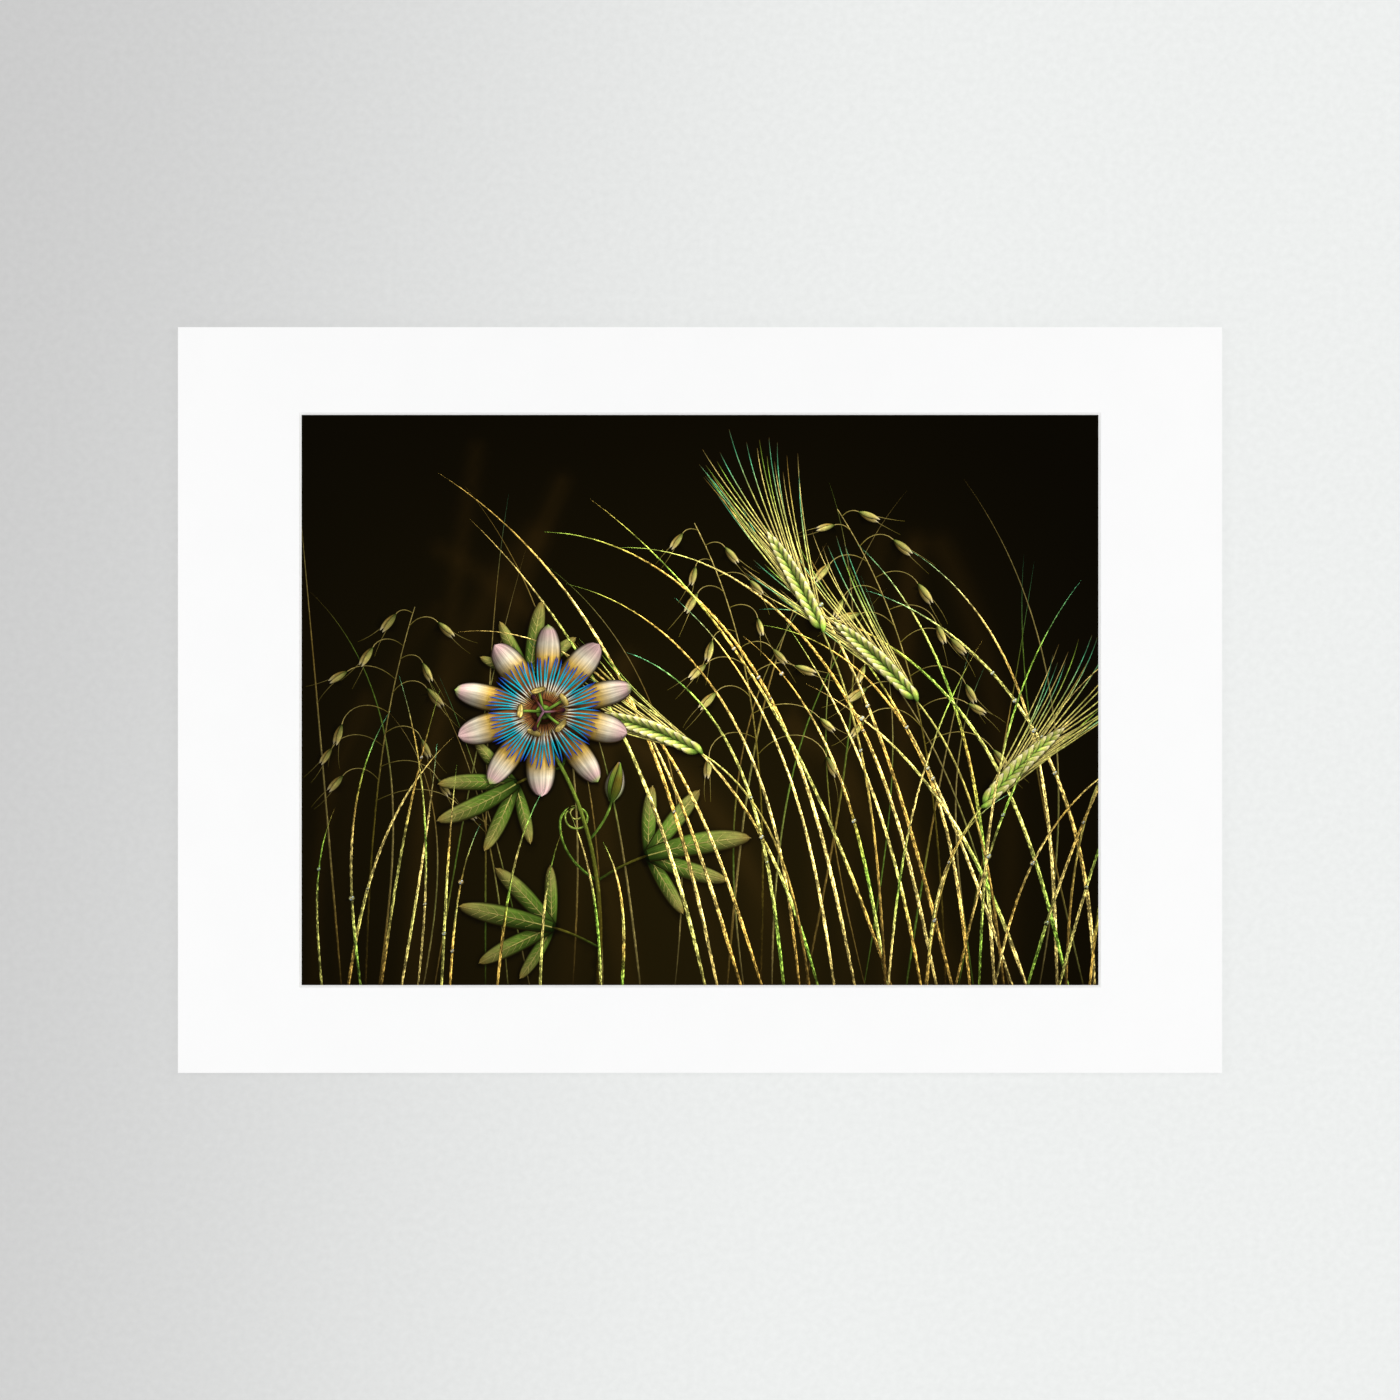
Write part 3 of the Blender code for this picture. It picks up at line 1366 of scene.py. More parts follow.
@dataclass
class Dew:
    """Drops of dew on the shining blades.

    Light that enters a drop at the upper right glows at its lower left.
    """

    seed: int
    count: int
    radii: Pair = (0.0010, 0.0021)
    places: Pair = (0.30, 0.92)
    least_glint: float = 0.6
    points: int = 9
    middle_seed: float = 0.5
    reach: float = 0.0008
    parts: tuple[DropPart, ...] = (
        DropPart(shift=0.0, size=1.0, ink=0.25, light=0.03, shadow=0.5),
        DropPart(shift=-0.20, size=0.74, ink=0.60, light=0.28),
        DropPart(shift=-0.42, size=0.44, ink=0.0, light=0.9),
        DropPart(shift=0.50, size=0.30, ink=0.0, light=2.0),
    )

    def draw(self, drawing: Drawing) -> None:
        """Draws the drops on strokes that are there already.

        Args:
            drawing: The drawing to lay them on.
        """
        chance = Random(self.seed)
        blades = [stroke for stroke in drawing.strokes if stroke.look.glint > self.least_glint]
        for _ in range(self.count):
            blade = chance.choice(blades)
            index = int(chance.uniform(*self.places) * len(blade.line))
            radius = chance.uniform(*self.radii)
            centre, ink = blade.line[index], blade.inks[index]
            bright = Tint.DEW_WHITE.rgb * light_pool(centre)
            for part in self.parts:
                middle = centre + part.shift * radius * LIGHT
                line = level_line(middle, part.size * radius, self.points)
                widths = spot_widths(part.size * radius, self.points)
                inks = np.tile(part.ink * ink + part.light * bright, (self.points, 1))
                look = Look(shadow=part.shadow, reach=self.reach)
                drawing.lay(Stroke(line, widths, inks, self.middle_seed, look))


@dataclass(frozen=True)
class PetalRing:
    """A ring of petals, which reach so far, in the flower's radii, and have their own ink at the tip."""

    reach: float
    half_width: float
    tip: Tint
    points: int = 26
    waist: float = 0.38
    bluntness: float = 4.0
    brightness: float = 1.08
    look: Look = Look(glint=0.02, vein=1.0, shadow=0.75, reach=0.0035)

    def pen(self) -> Pen:
        """Makes the pen that draws these petals.

        Returns:
            The pen.
        """
        stops = (
            (0.0, Tint.DEEP_COPPER), (0.42, Tint.COPPER), (0.60, Tint.HONEY),
            (0.76, Tint.CREAM), (0.92, Tint.SHELL_PINK), (1.0, self.tip),
        )
        widths = petal_widths(self.half_width, self.points, self.waist, self.bluntness)
        return Pen(stops, widths, self.look, self.brightness, full_light=True)


@dataclass
class Flower:
    """One open flower, seen nearly from the front, in full light.

    Its lines are drawn about its own centre, each from one radius to another, and are squashed
    across its lean. It has two rings of petals, a ring of banded threads with shorter ones over
    their roots, two discs, five stamens and three styles. A start is the angle of the first of a
    ring, and a scatter how far each may stray from its even place, in places. A disc has a
    radius, an ink and a seed.
    """

    seed: int
    centre: Spot
    radius: float = 0.061
    squash: float = 0.93
    lean: float = 24.0
    finest: float = 0.0013
    refined: float = 1.1
    petals: int = 10
    petal_start: float = 0.3
    petal_scatter: Pair = (-0.08, 0.08)
    petal_root: float = 0.004
    petal_sizes: Pair = (0.96, 1.04)
    petal_bend: Pair = (-0.16, 0.16)
    rings: tuple[PetalRing, ...] = (
        PetalRing(reach=1.02, half_width=0.0120, tip=Tint.SPRING_GREEN),
        PetalRing(reach=0.96, half_width=0.0138, tip=Tint.SHELL_PINK),
    )
    threads: int = 76
    long_thread: Pen = Pen(
        stops=(
            (0.0, Tint.PLUM), (0.16, Tint.PLUM), (0.24, Tint.CREAM), (0.36, Tint.CREAM),
            (0.46, Tint.TURQUOISE), (0.70, Tint.TURQUOISE), (0.86, Tint.AZURE), (1.0, Tint.INDIGO),
        ),
        half_widths=profile(13, (0.0, 0.00042), (0.5, 0.00055), (0.93, 0.00045), (1.0, 0.00008)),
        look=Look(glint=0.10, shadow=0.5, reach=0.0013),
        full_light=True,
    )
    long_scatter: Pair = (-0.25, 0.25)
    long_root: float = 0.008
    long_reach: Pair = (0.60, 0.68)
    long_bend: Pair = (-0.35, 0.35)
    short_thread: Pen = Pen(
        stops=((0.0, Tint.DEEP_COPPER), (0.6, Tint.COPPER), (1.0, Tint.STRAW)),
        half_widths=profile(7, (0.0, 0.00036), (0.8, 0.00036), (1.0, 0.0001)),
        look=Look(glint=0.2, shadow=0.4, reach=0.0009),
        full_light=True,
    )
    short_scatter: Pair = (-0.2, 0.2)
    short_root: float = 0.0075
    short_reach: Pair = (0.24, 0.29)
    discs: tuple[tuple[float, Tint, float], ...] = (
        (0.0084, Tint.DEEP_COPPER, 0.3), (0.0052, Tint.SPRING_GREEN, 0.7)
    )
    disc_points: int = 25
    disc_look: Look = Look(glint=0.1, vein=0.8, shadow=0.6)
    stamens: int = 5
    stamen_start: float = 0.55
    filament: Pen = Pen(
        stops=((0.0, Tint.MOSS), (1.0, Tint.SPRING_GREEN)),
        half_widths=np.full(10, 0.0010),
        look=Look(glint=0.1, shadow=0.6),
        full_light=True,
    )
    filament_span: Pair = (0.001, 0.0155)
    filament_bend: float = 0.12
    anther: Pen = Pen(
        stops=((0.0, Tint.OLD_GOLD), (0.5, Tint.STRAW), (1.0, Tint.OLD_GOLD)),
        half_widths=spot_widths(0.0021, 14, power=4),
        look=Look(glint=0.45, vein=0.6, shadow=0.65, reach=0.002),
        full_light=True,
    )
    anther_radius: float = 0.0160
    anther_half_length: float = 0.0052
    styles: int = 3
    style_start: float = 0.05
    style: Pen = Pen(
        stops=((0.0, Tint.MAUVE), (0.6, Tint.DEEP_COPPER), (1.0, Tint.PLUM)),
        half_widths=profile(
            16, (0.0, 0.0009), (0.68, 0.0007), (0.80, 0.0017), (0.93, 0.0017), (1.0, 0.0004)
        ),
        look=Look(glint=0.12, vein=0.3, shadow=0.6, reach=0.002),
        full_light=True,
    )
    style_length: float = 0.0150
    style_bend: float = 0.25

    def draw(self, drawing: Drawing) -> None:
        """Draws the flower from its petals up.

        Args:
            drawing: The drawing to lay it on.
        """
        chance = Random(self.seed)
        drawing.refine(self.centre, self.refined * self.radius, self.finest)
        self.draw_petals(drawing, chance)
        self.draw_threads(drawing, chance)
        for radius, tint, seed in self.discs:
            drawing.lay(self.disc(radius, tint, seed))
        self.draw_middle(drawing, chance)

    def placed(self, line: Rows) -> Rows:
        """Takes a line about the flower's own centre to its place in the picture.

        Args:
            line: The line's points.

        Returns:
            The points in the picture.
        """
        ahead = direction(math.radians(self.lean))
        turn = np.stack([ahead, left_of(ahead)], axis=1)
        flat = turn @ np.diag([1.0, self.squash]) @ turn.T
        return line @ flat.T + np.array(self.centre)

    def ray(self, angle: float, inner: float, outer: float, bend: float, count: int) -> Rows:
        """A line that starts at this angle about the centre and bends from one radius to another."""
        root = inner * direction(angle)
        return self.placed(sweep(root, angle - bend / 3, outer - inner, bend, 1.0, count))

    def disc(self, radius: float, tint: Tint, seed: float) -> Stroke:
        """A round patch in the flower's middle."""
        line = self.placed(level_line((0.0, 0.0), radius, self.disc_points))
        widths, inks = spot_widths(radius, self.disc_points), np.tile(tint.rgb, (self.disc_points, 1))
        return Stroke(line, widths, inks, seed, self.disc_look)

    def draw_petals(self, drawing: Drawing, chance: Random) -> None:
        """Draws the outer petals, then the inner ones between them.

        Args:
            drawing: The drawing to lay them on.
            chance: Where their small differences come from.
        """
        for first, ring in enumerate(self.rings):
            pen = ring.pen()
            for index in range(first, self.petals, len(self.rings)):
                place = index + chance.uniform(*self.petal_scatter)
                angle = round_angle(place, self.petals) + self.petal_start
                reach = self.radius * chance.uniform(*self.petal_sizes) * ring.reach
                line = self.ray(angle, self.petal_root, reach, chance.uniform(*self.petal_bend), pen.count)
                drawing.lay(pen.stroke(line, chance.random()))

    def draw_threads(self, drawing: Drawing, chance: Random) -> None:
        """Draws the banded threads: the long ones, then the short ones over their roots.

        Args:
            drawing: The drawing to lay them on.
            chance: Where their small differences come from.
        """
        for index in range(self.threads):
            angle = round_angle(index + chance.uniform(*self.long_scatter), self.threads)
            reach = self.radius * chance.uniform(*self.long_reach)
            bend = chance.uniform(*self.long_bend)
            line = self.ray(angle, self.long_root, reach, bend, self.long_thread.count)
            drawing.lay(self.long_thread.stroke(line, chance.random()))
        for index in range(self.threads):
            angle = round_angle(index + 0.5 + chance.uniform(*self.short_scatter), self.threads)
            reach = self.radius * chance.uniform(*self.short_reach)
            line = self.ray(angle, self.short_root, reach, 0.0, self.short_thread.count)
            drawing.lay(self.short_thread.stroke(line, chance.random()))

    def draw_middle(self, drawing: Drawing, chance: Random) -> None:
        """Draws the filaments, then the anthers across their ends, then the styles with their knobs.

        Args:
            drawing: The drawing to lay them on.
            chance: Where their seeds come from.
        """
        angles = [round_angle(index, self.stamens) + self.stamen_start for index in range(self.stamens)]
        for angle in angles:
            line = self.ray(angle, *self.filament_span, self.filament_bend, self.filament.count)
            drawing.lay(self.filament.stroke(line, chance.random()))
        share = np.linspace(-1.0, 1.0, self.anther.count)[:, None]
        for angle in angles:
            ahead = direction(angle)
            middle = ahead * self.anther_radius
            line = self.placed(middle + left_of(ahead) * share * self.anther_half_length)
            drawing.lay(self.anther.stroke(line, chance.random()))
        for index in range(self.styles):
            angle = round_angle(index, self.styles) + self.style_start
            line = self.ray(angle, 0.0, self.style_length, self.style_bend, self.style.count)
            drawing.lay(self.style.stroke(line, chance.random()))


@dataclass
class Leaf:
    """A leaf of long lobes, each with a midrib and side veins.

    The lobes fan out to the spread on both sides of the heading, and the outermost are shorter
    than the middle one by the taper.
    """

    seed: int
    root: Spot
    heading: float
    size: float
    lobes: int = 5
    spread: float = 75.0
    taper: float = 0.33
    sizes: Pair = (0.95, 1.05)
    finest: float = 0.0025
    middle: float = 0.5
    refined: float = 0.7
    lobe_bend: Pair = (-0.3, 0.3)
    lobe_lateness: float = 1.2
    lobe_slimness: float = 0.175
    lobe_waist: float = 0.35
    lobe_bluntness: float = 2.2
    lobe_brightness: float = 0.78
    lobe_look: Look = Look(glint=0.06, vein=0.9, shadow=0.6, reach=0.003)
    lobe_stops: Stops = (
        (0.0, Tint.MOSS), (0.45, Tint.SPRING_GREEN), (0.85, Tint.LIME), (1.0, Tint.OLD_GOLD)
    )
    midrib: Pen = Pen(
        stops=((0.0, Tint.LIME), (1.0, Tint.STRAW)),
        half_widths=np.linspace(0.0005, 0.0001, 22),
        look=Look(glint=0.3),
        brightness=1.1,
    )
    vein_half_widths: Pair = (0.00022, 0.00006)
    vein_points: int = 5
    vein_look: Look = Look(glint=0.2)
    vein_splay: float = 0.75
    vein_curl: float = -0.3
    vein_reach: float = 1.15
    vein_margin: int = 4
    vein_step: int = 2

    def draw(self, drawing: Drawing) -> None:
        """Draws the lobes from the outermost in, with the middle one on top.

        Args:
            drawing: The drawing to lay them on.
        """
        chance = Random(self.seed)
        ahead = direction(math.radians(self.heading))
        middle = np.array(self.root) + self.middle * self.size * ahead
        drawing.refine(middle, self.refined * self.size, self.finest)
        for off in sorted(np.linspace(-1.0, 1.0, self.lobes).tolist(), key=abs, reverse=True):
            angle = math.radians(self.heading + off * self.spread)
            reach = self.size * (1.0 - self.taper * abs(off)) * chance.uniform(*self.sizes)
            self.draw_lobe(drawing, angle, reach, chance)

    def draw_lobe(self, drawing: Drawing, angle: float, reach: float, chance: Random) -> None:
        """Draws one lobe, its midrib and its side veins.

        Args:
            drawing: The drawing to lay them on.
            angle: Which way the lobe points.
            reach: How long it is.
            chance: Where its small differences come from.
        """
        count = self.midrib.count
        line = sweep(self.root, angle, reach, chance.uniform(*self.lobe_bend), self.lobe_lateness, count)
        widths = petal_widths(reach * self.lobe_slimness, count, self.lobe_waist, self.lobe_bluntness)
        blade = Pen(self.lobe_stops, widths, self.lobe_look, self.lobe_brightness)
        drawing.lay(blade.stroke(line, chance.random()))
        midrib = self.midrib.stroke(line, chance.random())
        drawing.lay(midrib)
        half_widths = np.linspace(*self.vein_half_widths, self.vein_points)
        for index in range(self.vein_margin, count - self.vein_margin, self.vein_step):
            inks = np.tile(midrib.inks[index], (self.vein_points, 1))
            for side in (1, -1):
                angle = heading_at(line, index) + self.vein_splay * side
                length = self.vein_reach * widths[index]
                vein = sweep(line[index], angle, length, self.vein_curl * side, 1.0, self.vein_points)
                drawing.lay(Stroke(vein, half_widths, inks, chance.random(), self.vein_look))


@dataclass
class Tendril(Growing):
    """A thin shoot that ends in a coil.

    The coil tightens by a share of its radius, and is a little oval.
    """

    lateness: float = 1.4
    points: int = 30
    coil_radius: float = 0.010
    coil_turns: float = 2.2
    coil_points: int = 60
    coil_tightening: float = 0.74
    coil_oval: float = 0.16
    half_widths: Pair = (0.0010, 0.0005)
    look: Look = Look(glint=0.6)
    brightness: float = 1.2
    stops: Stops = ((0.0, Tint.MOSS), (0.4, Tint.SPRING_GREEN), (1.0, Tint.LIME))

    def draw(self, drawing: Drawing) -> None:
        """Draws the shoot.

        Args:
            drawing: The drawing to lay it on.
        """
        shoot = self.grown(self.lateness, self.points)
        line = np.concatenate([shoot, self.coil(shoot)])
        widths = np.linspace(*self.half_widths, len(line))
        pen = Pen(self.stops, widths, self.look, self.brightness)
        drawing.lay(pen.stroke(line, Random(self.seed).random()))

    def coil(self, shoot: Rows) -> Rows:
        """Coils up the end of the shoot, the way that it has turned so far.

        Args:
            shoot: The shoot's line.

        Returns:
            The coil's points after the shoot's last one, one a row.
        """
        place, angle = shoot[-1], heading_at(shoot, -2)
        step = 2 * math.pi * self.coil_turns / self.coil_points
        points = []
        for index in range(1, self.coil_points):
            angle += math.copysign(step, self.turn)
            radius = self.coil_radius * (1.0 - self.coil_tightening * index / self.coil_points)
            reach = radius * (1 + self.coil_oval * math.sin(angle)) * step
            place = place + direction(angle) * reach
            points.append(place)
        return np.array(points)


@dataclass(frozen=True)
class BudPart:
    """A rolled petal or a sepal of a bud: how far it splays, how wide it is, and its inks."""

    splay: float
    half_width: float
    stops: Stops


@dataclass
class Bud:
    """A flower bud on its stalk: pale petals rolled between green sepals."""

    seed: int
    root: Spot
    heading: float
    stalk: Pen = Pen(
        stops=((0.0, Tint.MOSS), (1.0, Tint.SPRING_GREEN)),
        half_widths=np.full(12, 0.0009),
        look=Look(glint=0.3),
    )
    stalk_length: float = 0.030
    stalk_bend: float = 0.5
    stalk_lateness: float = 1.5
    size: float = 0.027
    finest: float = 0.0016
    points: int = 18
    ends: Pair = (0.04, 0.985)
    fullness: float = 0.8
    curl_share: float = -1.9
    brightness: float = 1.1
    look: Look = Look(glint=0.05, vein=1.0, shadow=0.6, reach=0.002)
    parts: tuple[BudPart, ...] = (
        BudPart(0.00, 0.0068, ((0.0, Tint.SPRING_GREEN), (0.5, Tint.CREAM), (1.0, Tint.SHELL_PINK))),
        BudPart(0.20, 0.0034, ((0.0, Tint.MOSS), (0.6, Tint.SPRING_GREEN), (1.0, Tint.HONEY))),
        BudPart(-0.22, 0.0032, ((0.0, Tint.MOSS), (0.6, Tint.OLIVE), (1.0, Tint.SPRING_GREEN))),
    )

    def draw(self, drawing: Drawing) -> None:
        """Draws the stalk and the bud.

        Args:
            drawing: The drawing to lay them on.
        """
        chance = Random(self.seed)
        heading, count = math.radians(self.heading), self.stalk.count
        stalk = sweep(self.root, heading, self.stalk_length, self.stalk_bend, self.stalk_lateness, count)
        drawing.lay(self.stalk.stroke(stalk, chance.random()))
        drawing.refine(stalk[-1], self.size, self.finest)
        share = np.linspace(0.0, 1.0, self.points)
        bulge = np.sin(math.pi * np.clip(share, *self.ends) ** self.fullness) ** self.fullness
        for part in self.parts:
            angle = heading + self.stalk_bend + part.splay
            line = sweep(stalk[-1], angle, self.size, self.curl_share * part.splay, 1.0, self.points)
            pen = Pen(part.stops, part.half_width * bulge + HAIR, self.look, self.brightness)
            drawing.lay(pen.stroke(line, chance.random()))


@dataclass(frozen=True)
class Shoot:
    """A leaf's stalk or a tendril on the vine.

    The place is how far up the stem it grows, from 0 to 1, and the lean how far it turns away
    from the stem there. The size is the leaf's, or the tendril's reach.
    """

    seed: int
    place: float
    lean: float
    size: float


@dataclass
class Vine(Growing):
    """The climbing stem that bears the flower, with leaves, coiled shoots and a bud along it."""

    lateness: float = 1.4
    stem: Pen = Pen(
        stops=((0.0, Tint.UMBER), (0.3, Tint.OLIVE), (1.0, Tint.SPRING_GREEN)),
        half_widths=np.linspace(0.0018, 0.0012, 60),
        look=Look(glint=0.3, vein=0.5, shadow=0.5),
        brightness=0.9,
    )
    stalk: Pen = Pen(
        stops=((0.0, Tint.MOSS), (1.0, Tint.OLIVE)),
        half_widths=np.full(12, 0.0009),
        look=Look(glint=0.3, shadow=0.4),
        brightness=0.9,
    )
    stalk_length_share: float = 0.55
    stalk_turn_share: float = 0.25
    stalk_lateness: float = 1.5
    leaves: tuple[Shoot, ...] = (
        Shoot(seed=51, place=0.20, lean=62.0, size=0.064),
        Shoot(seed=73, place=0.42, lean=-66.0, size=0.070),
        Shoot(seed=111, place=0.80, lean=74.0, size=0.060),
        Shoot(seed=130, place=0.99, lean=-38.0, size=0.052),
    )
    tendrils: tuple[Shoot, ...] = (
        Shoot(seed=35, place=0.42, lean=48.0, size=0.050),
        Shoot(seed=39, place=0.80, lean=-50.0, size=0.072),
    )
    tendril_turn_share: float = -1.3
    bud_seed: int = 38
    bud_place: float = 0.55
    bud_heading: float = 50.0

    def draw(self, drawing: Drawing) -> None:
        """Draws what grows from the stem, then the stem.

        Args:
            drawing: The drawing to lay them on.
        """
        chance = Random(self.seed)
        stem = self.grown(self.lateness, self.stem.count)
        for shoot in self.leaves:
            heading, turn = self.heading_of(shoot), self.stalk_turn_share * shoot.lean
            length = self.stalk_length_share * shoot.size
            stalk = Growing(shoot.seed, self.knot(stem, shoot.place), heading, length, turn)
            line = stalk.grown(self.stalk_lateness, self.stalk.count)
            drawing.lay(self.stalk.stroke(line, chance.random()))
            Leaf(shoot.seed, line[-1], heading + turn, shoot.size).draw(drawing)
        for shoot in self.tendrils:
            heading, turn = self.heading_of(shoot), self.tendril_turn_share * shoot.lean
            knot = self.knot(stem, shoot.place)
            Tendril(shoot.seed, knot, heading, shoot.size, turn).draw(drawing)
        Bud(self.bud_seed, self.knot(stem, self.bud_place), self.bud_heading).draw(drawing)
        drawing.lay(self.stem.stroke(stem, chance.random()))

    def knot(self, stem: Rows, place: float) -> Rows:
        """The stem's point at this share of its length."""
        return stem[int(place * (len(stem) - 1))]

    def heading_of(self, shoot: Shoot) -> float:
        """The heading at which a shoot leaves the stem."""
        return self.heading + self.turn * shoot.place**self.lateness + shoot.lean


@dataclass(frozen=True)
class Ground:
    """The blurred ground: near black, warmer low in the middle, with soft far blades."""

    pools: tuple[Pool, ...] = (
        Pool(centre=(0.01, -0.14), reach=(0.20, 0.24)),
        Pool(centre=(-0.22, -0.02), reach=(0.12, 0.20), strength=0.20),
    )
    seed: int = 7
    blades: int = 16
    roots: Pair = (-0.27, 0.27)
    foot: float = -0.22
    headings: Pair = (75.0, 110.0)
    turns: Pair = (-50.0, 70.0)
    lengths: Pair = (0.2, 0.42)
    lateness: float = 1.8
    points: int = 24
    blurs: Pair = (0.005, 0.010)
    strengths: Pair = (0.2, 0.7)
    brightness: float = 0.35

    def color(self, places: Rows) -> Rows:
        """Paints the ground.

        Args:
            places: Places in the picture, one a row.

        Returns:
            One linear colour a place.
        """
        share = np.clip(sum(pool.at(places) for pool in self.pools), 0, 1)[:, None]
        color = (1 - share) * Tint.NIGHT.rgb + share * Tint.EARTH.rgb
        light = light_pool(places)[:, None]
        chance = Random(self.seed)
        for _ in range(self.blades):
            root = (chance.uniform(*self.roots), self.foot)
            heading = math.radians(chance.uniform(*self.headings))
            turn = math.radians(chance.uniform(*self.turns))
            length = chance.uniform(*self.lengths)
            line = sweep(root, heading, length, turn, self.lateness, self.points)
            blur = chance.uniform(*self.blurs)
            _, off = nearest(line, places)
            glow = np.exp(-((off / blur) ** 2))[:, None] * chance.uniform(*self.strengths)
            color = color + glow * (Tint.UMBER.rgb * self.brightness) * light
        return color


@dataclass
class Picture:
    """The whole composition, and half of the printed area's size along X and Y."""

    half_width: float = 0.274
    half_height: float = 0.198
    ground: Ground = Ground()

    def draw(self, sheet: Pair) -> Drawing:
        """Lays the motifs down from the back to the front.

        Args:
            sheet: Half of the sheet's size along X and Y.

        Returns:
            The finished drawing.
        """
        drawing = Drawing(sheet, (self.half_width, self.half_height))
        for motif in self.motifs():
            motif.draw(drawing)
            LOG.info("drew %s, %d strokes so far", type(motif).__name__, len(drawing.strokes))
        return drawing

    def motifs(self) -> list[Motif]:
        """Composes the picture.

        Returns:
            The motifs, from the back to the front.
        """
        far_grass = Grasses(
            seed=11, count=24, brightness=0.45, roots=(-0.25, 0.29), headings=(78, 108),
            lengths=(0.20, 0.37), turns=(-60, 70), half_widths=(0.0005, 0.0009), look=Look(glint=0.4),
        )
        tall_grass = Grasses(
            seed=12, count=21, brightness=3.1, roots=(0.00, 0.27), headings=(88, 110),
            lengths=(0.27, 0.42), turns=(26, 84), half_widths=(0.0010, 0.0015),
        )
        right_grass = Grasses(
            seed=13, count=9, brightness=2.2, roots=(0.12, 0.28), headings=(72, 92),
            lengths=(0.16, 0.30), turns=(-75, -20), half_widths=(0.0008, 0.0012),
        )
        left_grass = Grasses(
            seed=14, count=9, brightness=2.2, roots=(-0.27, -0.16), headings=(78, 100),
            lengths=(0.12, 0.24), turns=(-50, 30), half_widths=(0.0008, 0.0012),
        )
        near_grass = Grasses(
            seed=15, count=4, brightness=2.0, roots=(-0.17, -0.02), headings=(84, 100),
            lengths=(0.10, 0.17), turns=(-40, 40), half_widths=(0.0009, 0.0013),
        )
        return [
            far_grass,
            Oats(21, (0.165, FOOT), heading=92, length=0.345, turn=32, spikelets=15),
            Oats(23, (-0.225, FOOT), heading=88, length=0.270, turn=-16, spikelets=12, brightness=0.75),
            Oats(24, (0.040, FOOT), heading=88, length=0.330, turn=30, spikelets=14, brightness=0.95),
            Vine(31, (-0.070, FOOT), heading=84, length=0.205, turn=48),
            tall_grass,
            Barley(61, (0.205, FOOT), heading=96, length=0.215, turn=34),
            Barley(62, (0.125, FOOT), heading=93, length=0.255, turn=22),
            Barley(63, (0.245, FOOT), heading=88, length=0.165, turn=-26),
            Barley(64, (0.075, FOOT), heading=98, length=0.190, turn=52),
            Barley(65, (0.150, FOOT), heading=84, length=0.140, turn=-34),
            right_grass,
            left_grass,
            Dew(71, count=48),
            Flower(51, centre=(-0.105, -0.008)),
            near_grass,
        ]


# ---------------- Meshes ----------------

Corner = tuple[float, float, float]


class Ply(Enum):
    """The layers that a board or a card shows, as material slots."""

    FACE = 0
    CORE = 1
    BACK = 2


def dressed(mesh: Mesh, finishes: Sequence[Finish], solid: str) -> Object:
    """Makes a piece of a mesh, in place of a solid of the frame.

    Args:
        mesh: The finished mesh, which has the piece's name.
        finishes: The finishes for its slots, in order.
        solid: The solid's name, which its material slot in the record has too.

    Returns:
        The piece.
    """
    for finish in finishes:
        mesh.materials.append(finish.build())
    piece = bpy.data.objects.new(mesh.name, mesh)
    bpy.context.scene.collection.objects.link(piece)
    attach(piece, BODY)
    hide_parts(solid)
    return piece


def ring_of(half_x: float, half_y: float, height: float) -> list[Corner]:
    """The four corners of a level rectangle about the middle, anticlockwise from above."""
    return [(x, y, height) for x, y in rectangle(half_x, half_y).tolist()]


def hoops(name: str, rings: list[list[Corner]], plies: list[Ply], closed: bool) -> Mesh:
    """Joins level rectangles, one after another, by four faces each.

    Args:
        name: The mesh's name.
        rings: The rectangles, in order along the outline of the cross section.
        plies: The layer that shows from each ring to the next, then on each of the two caps.
        closed: Whether the last ring joins the first. If not, a cap closes each end.

    Returns:
        The mesh, with its faces pointing out.
    """
    points = [point for ring in rings for point in ring]
    faces: list[tuple[int, ...]] = []
    chosen: list[Ply] = []
    count = len(rings)
    for index in range(count if closed else count - 1):
        low, high = 4 * index, 4 * ((index + 1) % count)
        for side in range(4):
            after = (side + 1) % 4
            faces.append((low + side, low + after, high + after, high + side))
            chosen.append(plies[index])
    if not closed:
        last = 4 * (count - 1)
        faces += [(3, 2, 1, 0), (last, last + 1, last + 2, last + 3)]
        chosen += plies[-2:]
    mesh = bpy.data.meshes.new(name)
    mesh.from_pydata(points, [], faces)
    mesh.polygons.foreach_set("material_index", [ply.value for ply in chosen])
    mesh.update()
    return mesh


@dataclass
class BackingBoard:
    """Foam board: a foam core between two paper skins, which stand a hair proud of it."""

    node: str = "backing_board"
    skin: float = 0.0003
    core_inset: float = 0.00015
    finishes: tuple[Finish, ...] = (
        PaperFinish("board_face", (246, 245, 241), (236, 234, 228), roughness=0.62, specular=0.4),
        FoamFinish(),
        PaperFinish("board_back", (240, 238, 231), (217, 213, 202), roughness=0.70, specular=0.35),
    )

    def build(self) -> Object:
        """Builds the board.

        Returns:
            The piece.
        """
        low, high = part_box(self.node)
        section = [
            (0.0, low.z),
            (0.0, low.z + self.skin),
            (self.core_inset, low.z + self.skin),
            (self.core_inset, high.z - self.skin),
            (0.0, high.z - self.skin),
            (0.0, high.z),
        ]
        rings = [ring_of(high.x - inset, high.y - inset, z) for inset, z in section]
        skins_and_core = [Ply.BACK, Ply.BACK, Ply.CORE, Ply.FACE, Ply.FACE]
        caps = [Ply.BACK, Ply.FACE]
        mesh = hoops("foam_board", rings, skins_and_core + caps, closed=False)
        return dressed(mesh, self.finishes, self.node)


